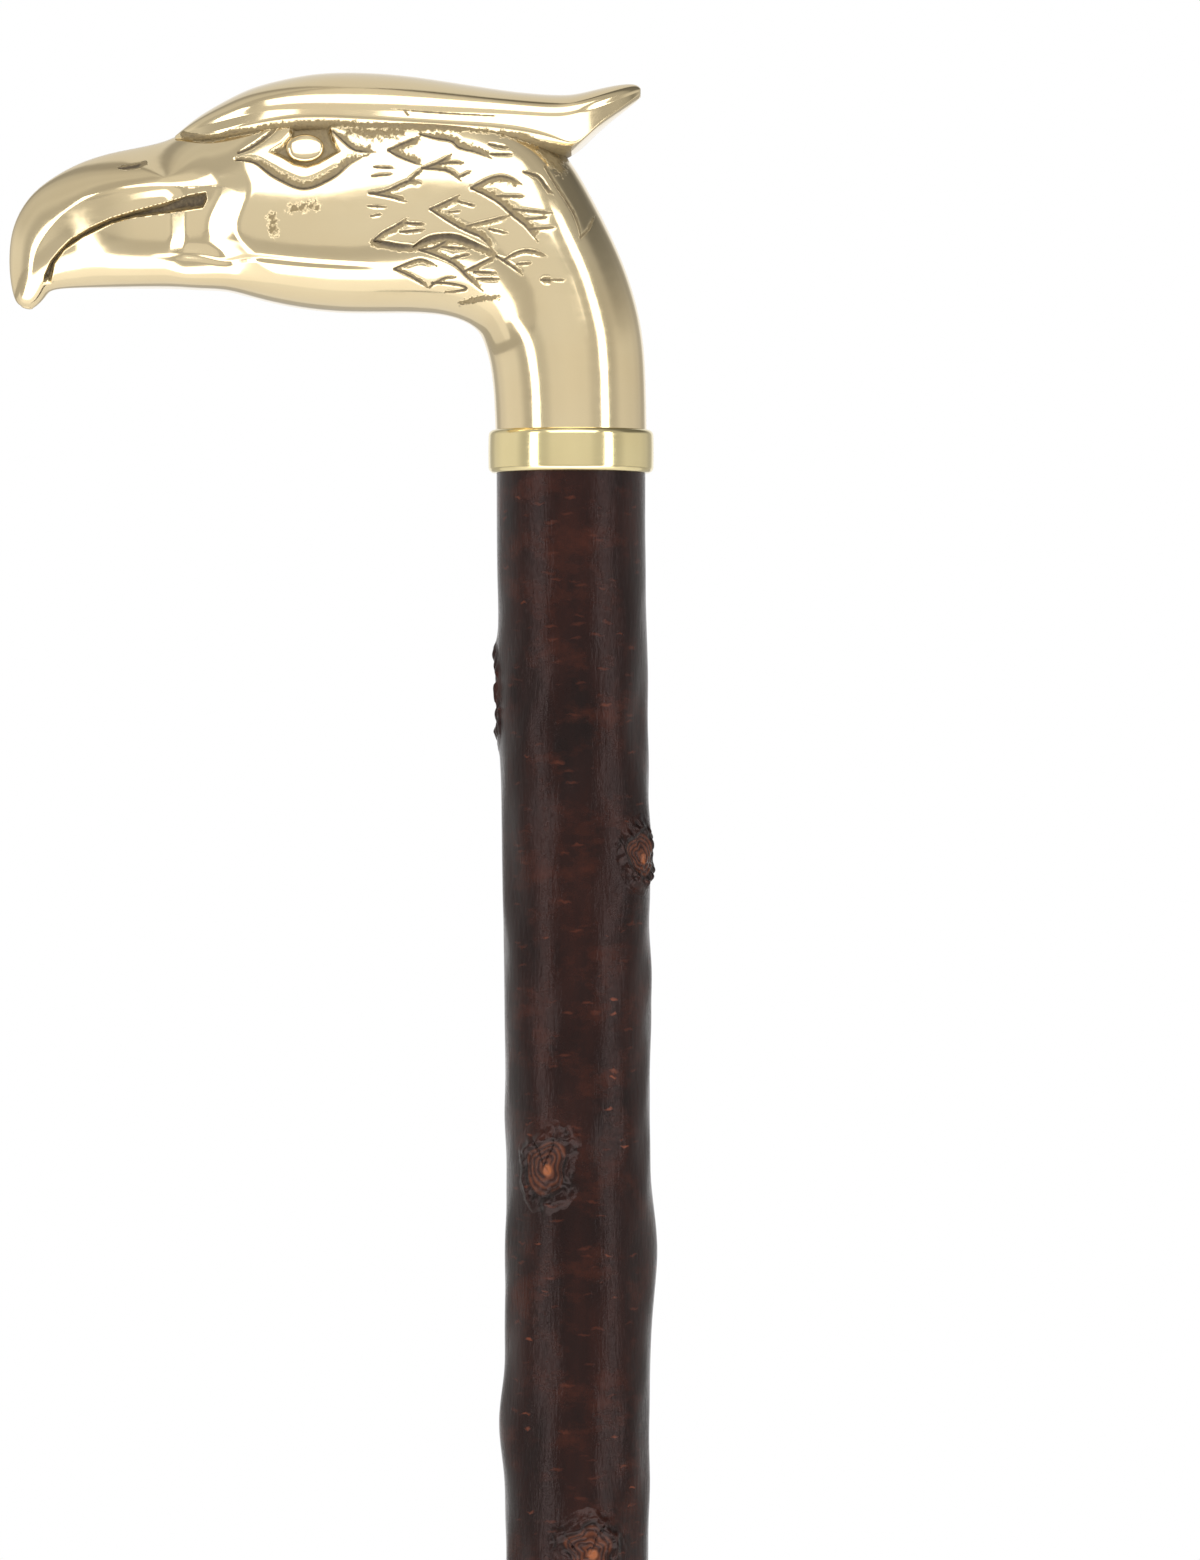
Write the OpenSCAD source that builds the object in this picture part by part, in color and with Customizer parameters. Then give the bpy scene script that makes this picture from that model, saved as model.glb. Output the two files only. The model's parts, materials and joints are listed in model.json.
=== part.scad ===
// Walking stick: a blackthorn shaft with its bark on, a hollow cast brass bird's head for a handle,
// a brass collar, a screwed stud joint under the head and a rubber ferrule on a brass tip band.
// Sizes are in millimetres. The origin is the centre of the ferrule's sole. +Z runs up the shaft,
// the beak points along -X, and the head is the same on both sides of the XZ plane.

/* [Shaft] */
// Length of the bark-covered shaft, from the tip band to the collar
shaft_length = 804; // [600:1:950]
// Diameter of the shaft under the collar
shaft_top_d = 24.8; // [23:0.1:26.5]
// Diameter of the shaft above the tip band
shaft_tip_d = 20.4; // [19.8:0.1:23]
// How far the shaft wanders from a straight line
shaft_crook = 1.2; // [0:0.1:3]
// How far a trimmed knot stands out of the bark
knot_h = 1.3; // [0.3:0.1:2]
// Length of a knot along the shaft
knot_l = 17; // [8:1:24]
// Width of a knot round the shaft
knot_w = 10; // [6:1:14]
// Spacing of the knots below the ones that are placed by hand
knot_pitch = 36; // [25:1:60]

/* [Head] */
// Reach of the head, from the shaft's axis to the front of the beak
head_reach = 93.6; // [80:0.1:110]
// Rise of the head, from the foot of the neck to the crown
head_rise = 59.5; // [54:0.1:70]
// Width of the head across the cheeks
head_width = 29; // [26:0.1:34]
// Diameter of the foot of the neck
neck_d = 25.2; // [23.5:0.1:26.5]
// Length of the free tuft of the crest behind the shaft's axis
tuft_reach = 11.6; // [8:0.1:16]
// Radius of the cast eyeball
eye_r = 3; // [2:0.1:4]
// Metal left between the two sides of the mouth slot
mouth_web = 9; // [7:0.1:11]
// Wall of the casting
casting_wall = 3.4; // [2.5:0.1:5]

/* [Collar] */
// Largest diameter of the collar
collar_d = 27.6; // [27:0.1:30]
// Height of the collar
collar_h = 7.2; // [5:0.1:12]
// How much slimmer the collar is at its two edges
collar_barrel = 0.5; // [0.2:0.1:1]
// Rounding of the collar's edges
collar_edge_r = 0.6; // [0.3:0.1:1]

/* [Stud joint] */
// Diameter of the steel stud
stud_d = 8; // [6:0.5:10]
// Length of the stud inside the head
stud_up = 27; // [25:1:34]
// Length of the stud inside the shaft
stud_down = 40; // [30:1:60]
// Chamfer on the stud's ends
stud_chamfer = 1; // [0.5:0.1:1.5]
// Outside diameter of the brass bush in the neck
bush_d = 16; // [14:0.5:18]
// Length of the bush
bush_l = 24; // [20:1:25]
// Outside diameter of the brass insert in the shaft
insert_d = 12; // [11:0.5:14]
// Length of the insert
insert_l = 22; // [15:1:28]
// Diameter of the wooden spigot that the collar sits on
spigot_d = 19; // [17.5:0.1:21]

/* [Tip] */
// Outside diameter of the brass tip band
band_d = 19; // [18:0.1:19.6]
// Wall of the tip band
band_wall = 0.9; // [0.6:0.1:1.4]
// Length of the tip band
band_l = 34; // [30:1:45]
// Height of the rubber ferrule
ferrule_h = 38; // [32:1:40]
// Diameter of the ferrule's foot
ferrule_foot_d = 34; // [30:0.5:42]
// Diameter of the ferrule's mouth
ferrule_mouth_d = 26; // [25:0.5:28]
// Thickness of the ferrule's floor, under the washer
ferrule_floor = 9; // [7:0.5:12]
// Height of the ferrule's foot
ferrule_foot_h = 7; // [5:0.5:9]
// Height of one raised ring on the ferrule
ferrule_rib_h = 2.4; // [1.5:0.1:3]
// Thickness of the steel washer in the ferrule
washer_t = 1.5; // [1:0.1:2.5]

/* [Hidden] */

$fn = 64;
// Overrun of a cut past the face that it opens
cut = 1;
// Gap that a glued or soldered joint leaves all round
glue_gap = 0.05;
// Gap between a thread's crest and its nut
thread_gap = 0.05;
// Gap all round the band inside the push-on ferrule
push_gap = 0.05;
// Gap between the washer's rim and the ferrule's bore
washer_gap = 0.25;
// Gap all round the stud in its drilled hole
drill_gap = 0.4;
// Room past the stud's end, up in the socket and down in the shaft
end_room = 2;
// Depth of a turned spigot's root inside the bark-covered shaft
spigot_root = 3;

// Heights of the faces where the pieces meet, from the sole upwards
tip_z = ferrule_floor + washer_t;
shoulder_z = tip_z + band_l;
collar_z = shoulder_z + shaft_length;
neck_z = collar_z + collar_h;

// Sizes that follow from the pieces they fit
neck_r = neck_d / 2;
tip_spigot_d = band_d - 2 * band_wall - 2 * glue_gap;
ferrule_bore_d = band_d + 2 * push_gap;
washer_d = ferrule_bore_d - 2 * washer_gap;
washer_hole_d = washer_d / 3;

// Lofts: how finely they are drawn
shaft_sides = 22;
shaft_ring_step = 6;
head_sides = 32;
head_rings_per_station = 2;
crest_sides = 20;
core_sides = 16;

// Head sections from the beak's tip to the back of the crown. Each row is
// [crown x, crown z, throat x, throat z, half width, squareness, belly shift].
// x is a share of head_reach, z of head_rise and half width of half of head_width.
head_shares = [
    [-0.979, 0.347, -0.958, 0.341, 0.055, 2.0,  0.00],
    [-0.990, 0.366, -0.947, 0.354, 0.135, 2.0,  0.00],
    [-0.998, 0.420, -0.936, 0.373, 0.215, 2.0, -0.05],
    [-1.000, 0.491, -0.928, 0.387, 0.290, 2.0, -0.10],
    [-0.992, 0.571, -0.914, 0.394, 0.360, 2.1, -0.16],
    [-0.965, 0.649, -0.891, 0.397, 0.420, 2.2, -0.22],
    [-0.921, 0.708, -0.857, 0.398, 0.470, 2.2, -0.27],
    [-0.860, 0.756, -0.812, 0.398, 0.515, 2.2, -0.30],
    [-0.785, 0.788, -0.759, 0.398, 0.555, 2.2, -0.30],
    [-0.721, 0.812, -0.705, 0.397, 0.590, 2.3, -0.26],
    [-0.668, 0.849, -0.657, 0.393, 0.640, 2.4, -0.20],
    [-0.609, 0.874, -0.609, 0.387, 0.770, 2.5, -0.14],
    [-0.545, 0.891, -0.550, 0.363, 0.900, 2.6, -0.10],
    [-0.470, 0.899, -0.481, 0.341, 0.970, 2.7, -0.07],
    [-0.385, 0.899, -0.406, 0.329, 1.000, 2.7, -0.05],
    [-0.288, 0.891, -0.326, 0.328, 1.000, 2.7, -0.04],
    [-0.182, 0.874, -0.256, 0.326, 0.985, 2.6, -0.03],
    [-0.085, 0.840, -0.208, 0.314, 0.960, 2.4, -0.02],
    [-0.014, 0.775, -0.179, 0.294, 0.930, 2.3,  0.00]
];
// Neck sections from the nape down to the collar. x and half width are shares of neck_r.
neck_shares = [
    [0.238, 0.664, -1.206, 0.269, 1.045, 2.2, 0.00],
    [0.540, 0.538, -1.135, 0.235, 1.020, 2.1, 0.00],
    [0.778, 0.412, -1.079, 0.193, 1.005, 2.0, 0.00],
    [0.929, 0.282, -1.040, 0.141, 1.000, 2.0, 0.00],
    [0.984, 0.151, -1.016, 0.081, 1.000, 2.0, 0.00],
    [1.000, 0.000, -1.000, 0.000, 1.000, 2.0, 0.00]
];
// Crest sections from the brow to the shaft's axis: [x, top z, edge z, hidden floor z, half width].
// x is a share of head_reach, z of head_rise and half width of half of head_width.
crest_shares = [
    [-0.704, 0.824, 0.816, 0.806, 0.150],
    [-0.662, 0.877, 0.846, 0.790, 0.490],
    [-0.609, 0.926, 0.860, 0.790, 0.690],
    [-0.534, 0.973, 0.866, 0.790, 0.800],
    [-0.427, 0.999, 0.868, 0.790, 0.840],
    [-0.321, 0.995, 0.866, 0.782, 0.840],
    [-0.214, 0.973, 0.855, 0.773, 0.800],
    [-0.107, 0.948, 0.840, 0.756, 0.710],
    [-0.032, 0.938, 0.820, 0.752, 0.600]
];
// Free tuft behind the axis, in the same order. x is a share of tuft_reach.
tuft_shares = [
    [0.172, 0.946, 0.840, 0.800, 0.450],
    [0.517, 0.960, 0.886, 0.855, 0.300],
    [0.802, 0.970, 0.926, 0.899, 0.175],
    [1.000, 0.960, 0.947, 0.930, 0.060]
];
// Eye: x share of head_reach, z share of head_rise, and how far out its centre lies as a share of
// half of head_width
eye_shares = [-0.469, 0.776, 0.740];
// Outline of the mouth slot seen from the side: its upper lip to the hook, then its lower lip back.
// x is a share of head_reach and z of head_rise.
mouth_shares = [
    [-0.652, 0.662], [-0.723, 0.628], [-0.817, 0.586], [-0.857, 0.560], [-0.889, 0.529],
    [-0.924, 0.468], [-0.937, 0.409], [-0.921, 0.407], [-0.901, 0.496], [-0.867, 0.532],
    [-0.815, 0.573], [-0.712, 0.603], [-0.654, 0.614]
];
// Station of head_shares where the core of the casting starts
core_first = 10;
// Station, counted on through neck_shares, where the core ends above the bush
core_last = 20;

// Knots that are placed by hand: [share of shaft_length below the collar, azimuth in degrees]
knot_shares = [[0.045, 172], [0.079, -33], [0.143, -115], [0.161, 8], [0.196, 186], [0.222, -80]];
// Turn from one knot to the next further down, which is two fifths of a circle
knot_turn = 144;

// Curves

// Catmull-Rom blend of four rows of numbers
function blend_rows(a, b, c, d, t) =
    b + t * ((c - a) + t * ((2 * a - 5 * b + 4 * c - d) + t * (3 * b - a - 3 * c + d))) / 2;

// Row of a table at a place between its stations
function row_at(rows, place) =
    let (last = len(rows) - 1, i = min(floor(place), last - 1), t = place - i)
    blend_rows(rows[max(i - 1, 0)], rows[i], rows[i + 1], rows[min(i + 2, last)], t);

// Power of a cosine or sine with its sign kept, which makes a circle squarer
function squared_off(value, squareness) = sign(value) * pow(abs(value), 2 / squareness);

// Lofted solid through rings that have the same number of points
module loft(rings) {
    sides = len(rings[0]);
    last = len(rings) - 1;
    points = [for (ring = rings, point = ring) point];
    walls = [for (i = [0:last - 1], j = [0:sides - 1]) let (k = (j + 1) % sides)
        each [[i * sides + j, (i + 1) * sides + j, (i + 1) * sides + k],
              [i * sides + j, (i + 1) * sides + k, i * sides + k]]];
    first_cap = [for (j = [0:sides - 1]) j];
    last_cap = [for (j = [sides - 1:-1:0]) last * sides + j];
    polyhedron(points = points, faces = concat([first_cap], walls, [last_cap]));
}

// Head

// Sections of the head and neck in millimetres, above the foot of the neck
head_rows = concat(
    [for (r = head_shares) [r[0] * head_reach, r[1] * head_rise, r[2] * head_reach, r[3] * head_rise,
                            r[4] * head_width / 2, r[5], r[6]]],
    [for (r = neck_shares) [r[0] * neck_r, r[1] * head_rise, r[2] * neck_r, r[3] * head_rise,
                            r[4] * neck_r, r[5], r[6]]]);

// Ring of points round one section, set in from its outline by a wall
function head_ring(row, sides, wall = 0) =
    let (crown = [row[0], row[1]], throat = [row[2], row[3]], middle = (crown + throat) / 2,
         reach = (crown - throat) / 2, keep = 1 - wall / norm(reach), half = row[4] - wall)
    [for (j = [0:sides - 1])
        let (turn = 360 * j / sides, up = squared_off(cos(turn), row[5]),
             out = squared_off(sin(turn), row[5]), lift = up + row[6] * (1 - up * up),
             place = middle + reach * keep * lift)
        [place.x, -half * out, place.y]];

// Sections of the crest in millimetres, above the foot of the neck
crest_rows = concat(
    [for (r = crest_shares) [r[0] * head_reach, r[1] * head_rise, r[2] * head_rise, r[3] * head_rise,
                             r[4] * head_width / 2]],
    [for (r = tuft_shares) [r[0] * tuft_reach, r[1] * head_rise, r[2] * head_rise, r[3] * head_rise,
                            r[4] * head_width / 2]]);
// Squareness of the crest's dome
crest_squareness = 3.2;

// Ring of points round one section of the crest: a dome above its edge, a keel below it
function crest_ring(row) =
    [for (j = [0:crest_sides - 1])
        let (turn = 360 * j / crest_sides, up = squared_off(cos(turn), crest_squareness),
             out = squared_off(sin(turn), crest_squareness),
             span = up > 0 ? row[1] - row[2] : row[2] - row[3])
        [row[0], -row[4] * out, row[2] + span * up]];

module head_body() {
    steps = (len(head_rows) - 1) * head_rings_per_station;
    loft([for (i = [0:steps]) head_ring(row_at(head_rows, i / head_rings_per_station), head_sides)]);
}

module crest() {
    steps = (len(crest_rows) - 1) * head_rings_per_station;
    loft([for (i = [0:steps]) crest_ring(row_at(crest_rows, i / head_rings_per_station))]);
}

module casting_core() {
    loft([for (i = [core_first:core_last]) head_ring(head_rows[i], core_sides, casting_wall)]);
}

module eyes() {
    for (side = [-1, 1])
        translate([eye_shares[0] * head_reach, side * eye_shares[2] * head_width / 2,
                   eye_shares[1] * head_rise])
            sphere(r = eye_r);
}

module mouth_slots() {
    for (side = [0, 1])
        mirror([0, side, 0])
            translate([0, -mouth_web / 2, 0])
                rotate([90, 0, 0])
                    linear_extrude(height = head_width)
                        polygon([for (p = mouth_shares) [p[0] * head_reach, p[1] * head_rise]]);
}

module head_casting() {
    color("#c9b27a")
        translate([0, 0, neck_z])
            difference() {
                union() {
                    head_body();
                    crest();
                    eyes();
                }
                mouth_slots();
                casting_core();
                translate([0, 0, -cut])
                    cylinder(d = bush_d + 2 * glue_gap, h = stud_up + end_room + cut);
            }
}

// Joint between the head and the shaft

module neck_bush() {
    color("#c0a060")
        translate([0, 0, neck_z])
            difference() {
                cylinder(d = bush_d, h = bush_l);
                translate([0, 0, -cut])
                    cylinder(d = stud_d + 2 * thread_gap, h = bush_l + 2 * cut);
            }
}

module stud() {
    r = stud_d / 2;
    length = stud_up + stud_down;
    color("#9a9c9e")
        translate([0, 0, neck_z - stud_down])
            rotate_extrude()
                polygon([[0, 0], [r - stud_chamfer, 0], [r, stud_chamfer], [r, length - stud_chamfer],
                         [r - stud_chamfer, length], [0, length]]);
}

module shaft_insert() {
    color("#b89a58")
        translate([0, 0, neck_z - insert_l])
            difference() {
                cylinder(d = insert_d, h = insert_l);
                translate([0, 0, -cut])
                    cylinder(d = stud_d + 2 * thread_gap, h = insert_l + 2 * cut);
            }
}

// Steps of the arc along the collar's barrel side and round its edges
collar_steps = 6;

module collar_ring() {
    outer_r = collar_d / 2;
    edge_r = outer_r - collar_barrel;
    bore_r = spigot_d / 2 + glue_gap;
    side = [for (i = [0:collar_steps])
        let (t = 2 * i / collar_steps - 1)
        [outer_r - collar_barrel * t * t, collar_h / 2 + t * (collar_h / 2 - collar_edge_r)]];
    color("#d2bd7c")
        translate([0, 0, collar_z])
            rotate_extrude()
                polygon(concat([[bore_r, 0], [edge_r - collar_edge_r, 0]], side,
                               [[edge_r - collar_edge_r, collar_h], [bore_r, collar_h]]));
}

// Shaft

knots_placed = len(knot_shares);
knot_last_share = knot_shares[knots_placed - 1][0];
knots_repeated = floor(shaft_length * (1 - knot_last_share) / knot_pitch) - 1;
// All knots: [height above the tip band, azimuth]
knots = concat(
    [for (k = knot_shares) [shaft_length * (1 - k[0]), k[1]]],
    [for (i = [1:knots_repeated])
        [shaft_length * (1 - knot_last_share) - i * knot_pitch,
         knot_shares[knots_placed - 1][1] + i * knot_turn]]);
// Waves of the shaft's crook from end to end, along X and along Y
crook_waves = [1.5, 2.5];
// Length at each end over which the crook and the knots fade out
fade_l = 2 * shaft_tip_d;

// Rises from 0 at the end of the shaft to 1 past the fade
function fade(h) = let (t = min(1, min(h, shaft_length - h) / fade_l)) t * t * (3 - 2 * t);

// Difference of two angles, from -180 to 180 degrees
function turn_between(a, b) = let (d = (a - b) % 360) d > 180 ? d - 360 : d < -180 ? d + 360 : d;

// How far the knots lift the bark at a height and an azimuth
function knot_lift(h, azimuth, r) =
    max([for (k = knots) let (along = 2 * (h - k[0]) / knot_l)
        abs(along) > 3 ? 0
        : let (across = 2 * r * turn_between(azimuth, k[1]) * PI / 180 / knot_w)
          knot_h * exp(-along * along - across * across)]);

function shaft_ring(h) =
    let (share = h / shaft_length, r = (shaft_tip_d + (shaft_top_d - shaft_tip_d) * share) / 2,
         wander = shaft_crook * fade(h), x = wander * sin(360 * crook_waves[0] * (1 - share)),
         y = wander * sin(360 * crook_waves[1] * (1 - share)))
    [for (j = [0:shaft_sides - 1])
        let (azimuth = 360 * j / shaft_sides, out = r + knot_lift(h, azimuth, r) * fade(h))
        [x + out * cos(azimuth), y + out * sin(azimuth), h]];

module bark_rod() {
    rings = ceil(shaft_length / shaft_ring_step);
    loft([for (i = [0:rings]) shaft_ring(shaft_length * i / rings)]);
}

module shaft() {
    color("#3a211c")
        difference() {
            union() {
                translate([0, 0, shoulder_z])
                    bark_rod();
                translate([0, 0, tip_z])
                    cylinder(d = tip_spigot_d, h = band_l + spigot_root);
                translate([0, 0, collar_z - spigot_root])
                    cylinder(d = spigot_d, h = collar_h + spigot_root);
            }
            translate([0, 0, neck_z - insert_l])
                cylinder(d = insert_d + 2 * glue_gap, h = insert_l + cut);
            translate([0, 0, neck_z - stud_down - end_room])
                cylinder(d = stud_d + 2 * drill_gap, h = stud_down + end_room + cut);
        }
}

// Tip

module tip_band() {
    color("#c9b06a")
        translate([0, 0, tip_z])
            difference() {
                cylinder(d = band_d, h = band_l);
                translate([0, 0, -cut])
                    cylinder(d = band_d - 2 * band_wall, h = band_l + 2 * cut);
            }
}

module ferrule_washer() {
    color("#8f9294")
        translate([0, 0, ferrule_floor])
            difference() {
                cylinder(d = washer_d, h = washer_t);
                translate([0, 0, -cut])
                    cylinder(d = washer_hole_d, h = washer_t + 2 * cut);
            }
}

// Raised rings round the ferrule
ferrule_ribs = 3;
// Depth of the waist between the raised rings
rib_depth = 0.8;
// Rounding of the ferrule's foot and mouth
ferrule_edge = 1.2;
// Depth and width of the tread grooves in the sole
tread_depth = 1.2;
tread_w = 1.6;
// Middles of the tread grooves as shares of the sole's radius
tread_shares = [0.45, 0.68, 0.88];

module rubber_ferrule() {
    foot_r = ferrule_foot_d / 2;
    mouth_r = ferrule_mouth_d / 2;
    waist_h = ferrule_h - ferrule_foot_h - ferrule_edge;
    sole_r = foot_r - ferrule_edge;
    pitch = waist_h / (ferrule_ribs + 1);
    ribs = [for (i = [1:ferrule_ribs])
        let (mid = ferrule_foot_h + ferrule_edge + i * pitch)
        each [[mouth_r - rib_depth, mid - ferrule_rib_h / 2], [mouth_r, mid - ferrule_rib_h / 4],
              [mouth_r, mid + ferrule_rib_h / 4], [mouth_r - rib_depth, mid + ferrule_rib_h / 2]]];
    color("#1d1d1f")
        difference() {
            rotate_extrude()
                polygon(concat(
                    [[0, 0], [sole_r, 0], [foot_r, ferrule_edge], [foot_r, ferrule_foot_h - ferrule_edge],
                     [foot_r - ferrule_edge, ferrule_foot_h],
                     [mouth_r - rib_depth, ferrule_foot_h + ferrule_edge]],
                    ribs,
                    [[mouth_r - rib_depth, ferrule_h - ferrule_edge],
                     [mouth_r - rib_depth - ferrule_edge, ferrule_h], [0, ferrule_h]]));
            translate([0, 0, ferrule_floor])
                cylinder(d = ferrule_bore_d, h = ferrule_h);
            for (share = tread_shares)
                translate([0, 0, -cut])
                    difference() {
                        cylinder(r = sole_r * share + tread_w / 2, h = tread_depth + cut);
                        cylinder(r = sole_r * share - tread_w / 2, h = tread_depth + cut);
                    }
        }
}

head_casting();
neck_bush();
stud();
collar_ring();
shaft_insert();
shaft();
tip_band();
rubber_ferrule();
ferrule_washer();
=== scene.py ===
# %% [markdown]
# # A walking stick with a cast brass bird's head
# The stick is a blackthorn shaft with its bark on, a polished brass head for a handle, a turned
# collar between them and a rubber ferrule at the tip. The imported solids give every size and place.
# This lesson dresses them: it lofts and carves the head, grows the bark, turns the small brass and
# rubber pieces and paints each one with its own nodes.

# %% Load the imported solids
import json
import math

import bpy
import numpy as np
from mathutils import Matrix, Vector


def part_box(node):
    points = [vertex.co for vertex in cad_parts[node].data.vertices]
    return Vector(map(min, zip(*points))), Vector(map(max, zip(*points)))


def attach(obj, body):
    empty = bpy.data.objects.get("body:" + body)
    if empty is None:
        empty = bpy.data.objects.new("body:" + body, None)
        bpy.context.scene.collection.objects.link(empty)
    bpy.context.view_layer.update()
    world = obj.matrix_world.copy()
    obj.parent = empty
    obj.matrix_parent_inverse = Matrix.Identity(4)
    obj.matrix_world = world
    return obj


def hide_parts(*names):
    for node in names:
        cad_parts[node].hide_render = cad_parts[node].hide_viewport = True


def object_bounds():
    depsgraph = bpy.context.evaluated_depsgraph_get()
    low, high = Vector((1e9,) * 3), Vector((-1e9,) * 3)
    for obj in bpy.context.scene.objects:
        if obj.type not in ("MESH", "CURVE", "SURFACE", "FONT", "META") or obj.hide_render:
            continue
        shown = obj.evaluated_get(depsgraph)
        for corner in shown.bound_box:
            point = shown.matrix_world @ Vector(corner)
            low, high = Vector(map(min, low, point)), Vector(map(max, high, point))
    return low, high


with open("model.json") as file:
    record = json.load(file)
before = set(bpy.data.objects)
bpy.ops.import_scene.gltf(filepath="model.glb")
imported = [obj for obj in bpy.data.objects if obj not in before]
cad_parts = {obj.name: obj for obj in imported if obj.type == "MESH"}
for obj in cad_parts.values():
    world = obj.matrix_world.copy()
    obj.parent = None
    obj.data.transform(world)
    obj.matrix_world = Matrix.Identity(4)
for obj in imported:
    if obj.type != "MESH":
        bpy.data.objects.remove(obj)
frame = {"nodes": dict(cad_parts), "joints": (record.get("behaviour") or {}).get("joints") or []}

MM = 0.001
cad_box = [list(map(float, corner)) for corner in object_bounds()]
nodes = frame["nodes"]
print("nodes:", sorted(nodes))

# %% [markdown]
# ## The camera
# The collar's two edges bow upwards a little, so the lens sits lower than the collar, level with
# the middle of the picture, about a metre and a half away. A long lens then shows 200 mm by 260 mm
# of the stick. The same numbers turn a point of the stick into a pixel of the picture, which the
# carving needs.

# %% Camera
PICTURE_PX = (1200, 1560)
PX_PER_M = 6000
NECK_FOOT_PX = (571, 430)
CAMERA_DISTANCE = 1.5
SENSOR_MM = 36
CLIP_END = 50

neck_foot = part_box("collar_ring")[1].z
view_x = (PICTURE_PX[0] / 2 - NECK_FOOT_PX[0]) / PX_PER_M
view_z = neck_foot + (NECK_FOOT_PX[1] - PICTURE_PX[1] / 2) / PX_PER_M


def deselect():
    """Clears the selection, because an operator acts on all that is selected."""
    bpy.ops.object.select_all(action="DESELECT")


def to_pixels(points):
    """Pixels of points on the near cheek. A point of the far cheek counts as its mirror image."""
    scale = PX_PER_M * CAMERA_DISTANCE / (CAMERA_DISTANCE - np.abs(points[..., 1]))
    px = PICTURE_PX[0] / 2 + (points[..., 0] - view_x) * scale
    py = PICTURE_PX[1] / 2 - (points[..., 2] - view_z) * scale
    return px, py


deselect()
bpy.ops.object.camera_add(location=(view_x, -CAMERA_DISTANCE, view_z), rotation=(math.pi / 2, 0, 0))
camera = bpy.context.object
camera.data.sensor_fit = "VERTICAL"
camera.data.sensor_height = SENSOR_MM
camera.data.lens = SENSOR_MM * CAMERA_DISTANCE * PX_PER_M / PICTURE_PX[1]
camera.data.clip_end = CLIP_END
bpy.context.scene.camera = camera
print("lens:", round(camera.data.lens, 1), "mm")

# %% [markdown]
# ## The studio
# Polished brass is only as good as what it mirrors. The picture's reflections tell what stood
# there: two narrow upright softboxes left and right of the lens, a wide one above it, a white table
# below and a bright backdrop behind the stick. Between them lies a duller room. Area lamps make the
# softboxes, and the world is a soft wash that is white only around the backdrop.

# %% Lamps
STRIP_AZIMUTHS = (-53, 54)
STRIP_SIZE = (0.29, 1.4)
STRIP_DISTANCE = 1.35
STRIP_RADIANCE = 3.0
# The strips are aimed below the head, so that they reach down nearly to the table
STRIP_DROP = 0.11
KEY_SIZE = (1.9, 1.1)
KEY_AZIMUTH = 4
KEY_ELEVATION = 33
KEY_DISTANCE = 1.5
KEY_RADIANCE = 1.9
# The white table glows most in front: (name, its two edges in front of the shaft, width, radiance)
TABLE_STRIPS = [("ahead", 4.4, 1.5, 5, 0.10), ("front", 1.5, 0.5, 3, 1.9),
                ("middle", 0.5, 0, 5, 0.40), ("back", 0, -1.35, 5, 0.28)]
TABLE_GAP = 0.005
# The floor lies below the ferrule's lowest place when it is pulled off the tip
FLOOR_GAP = 0.02

head_low, head_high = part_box("head_casting")
head_centre = (head_low + head_high) / 2
ferrule_travel = frame["joints"][0]["range_m"][1]
floor_z = cad_box[0][2] - ferrule_travel - FLOOR_GAP


def softbox(name, place, size, radiance, aim):
    """A rectangular lamp of even brightness that faces the place aimed at."""
    bpy.ops.object.light_add(type="AREA", location=place)
    lamp = bpy.context.object
    lamp.name = name
    lamp.data.shape = "RECTANGLE"
    lamp.data.size, lamp.data.size_y = size
    lamp.data.energy = radiance * math.pi * size[0] * size[1]
    lamp.rotation_euler = (Vector(aim) - Vector(place)).to_track_quat("-Z", "Y").to_euler()
    lamp.visible_camera = False
    return lamp


def towards(azimuth, elevation=0):
    """Direction at an azimuth to the right of the lens and an elevation, seen from the stick."""
    turn, rise = math.radians(azimuth), math.radians(elevation)
    level = math.cos(rise)
    return Vector((math.sin(turn) * level, -math.cos(turn) * level, math.sin(rise)))


strip_aim = Vector((0, 0, head_centre.z - STRIP_DROP))
for side, azimuth in zip(("left", "right"), STRIP_AZIMUTHS):
    place = strip_aim + STRIP_DISTANCE * towards(azimuth)
    softbox(f"strip_softbox_{side}", place, STRIP_SIZE, STRIP_RADIANCE, strip_aim)
key_place = head_centre + KEY_DISTANCE * towards(KEY_AZIMUTH, KEY_ELEVATION)
softbox("key_softbox", key_place, KEY_SIZE, KEY_RADIANCE, head_centre)
for name, start, end, width, radiance in TABLE_STRIPS:
    place = Vector((head_centre.x, -(start + end) / 2, floor_z + TABLE_GAP))
    softbox(f"table_glow_{name}", place, (width, start - end), radiance, place + Vector((0, 0, 1)))

# %% World and floor
ROOM_TINT = (1.0, 0.985, 0.955)
# Brightness of the room round the horizon: (degrees to the right of the lens, level)
ROOM_LEVELS = [
    (-180, 1.0), (-158, 1.0), (-150, 0.50), (-142, 0.50), (-128, 0.72), (-110, 0.82), (-85, 0.80),
    (-68, 0.52), (-54, 0.50), (-38, 0.60), (-24, 0.77), (0, 0.80), (24, 0.77), (38, 0.60),
    (54, 0.50), (68, 0.52), (85, 0.72), (110, 0.68), (128, 0.60), (142, 0.46), (150, 0.50),
    (158, 1.0), (180, 1.0)]
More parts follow.
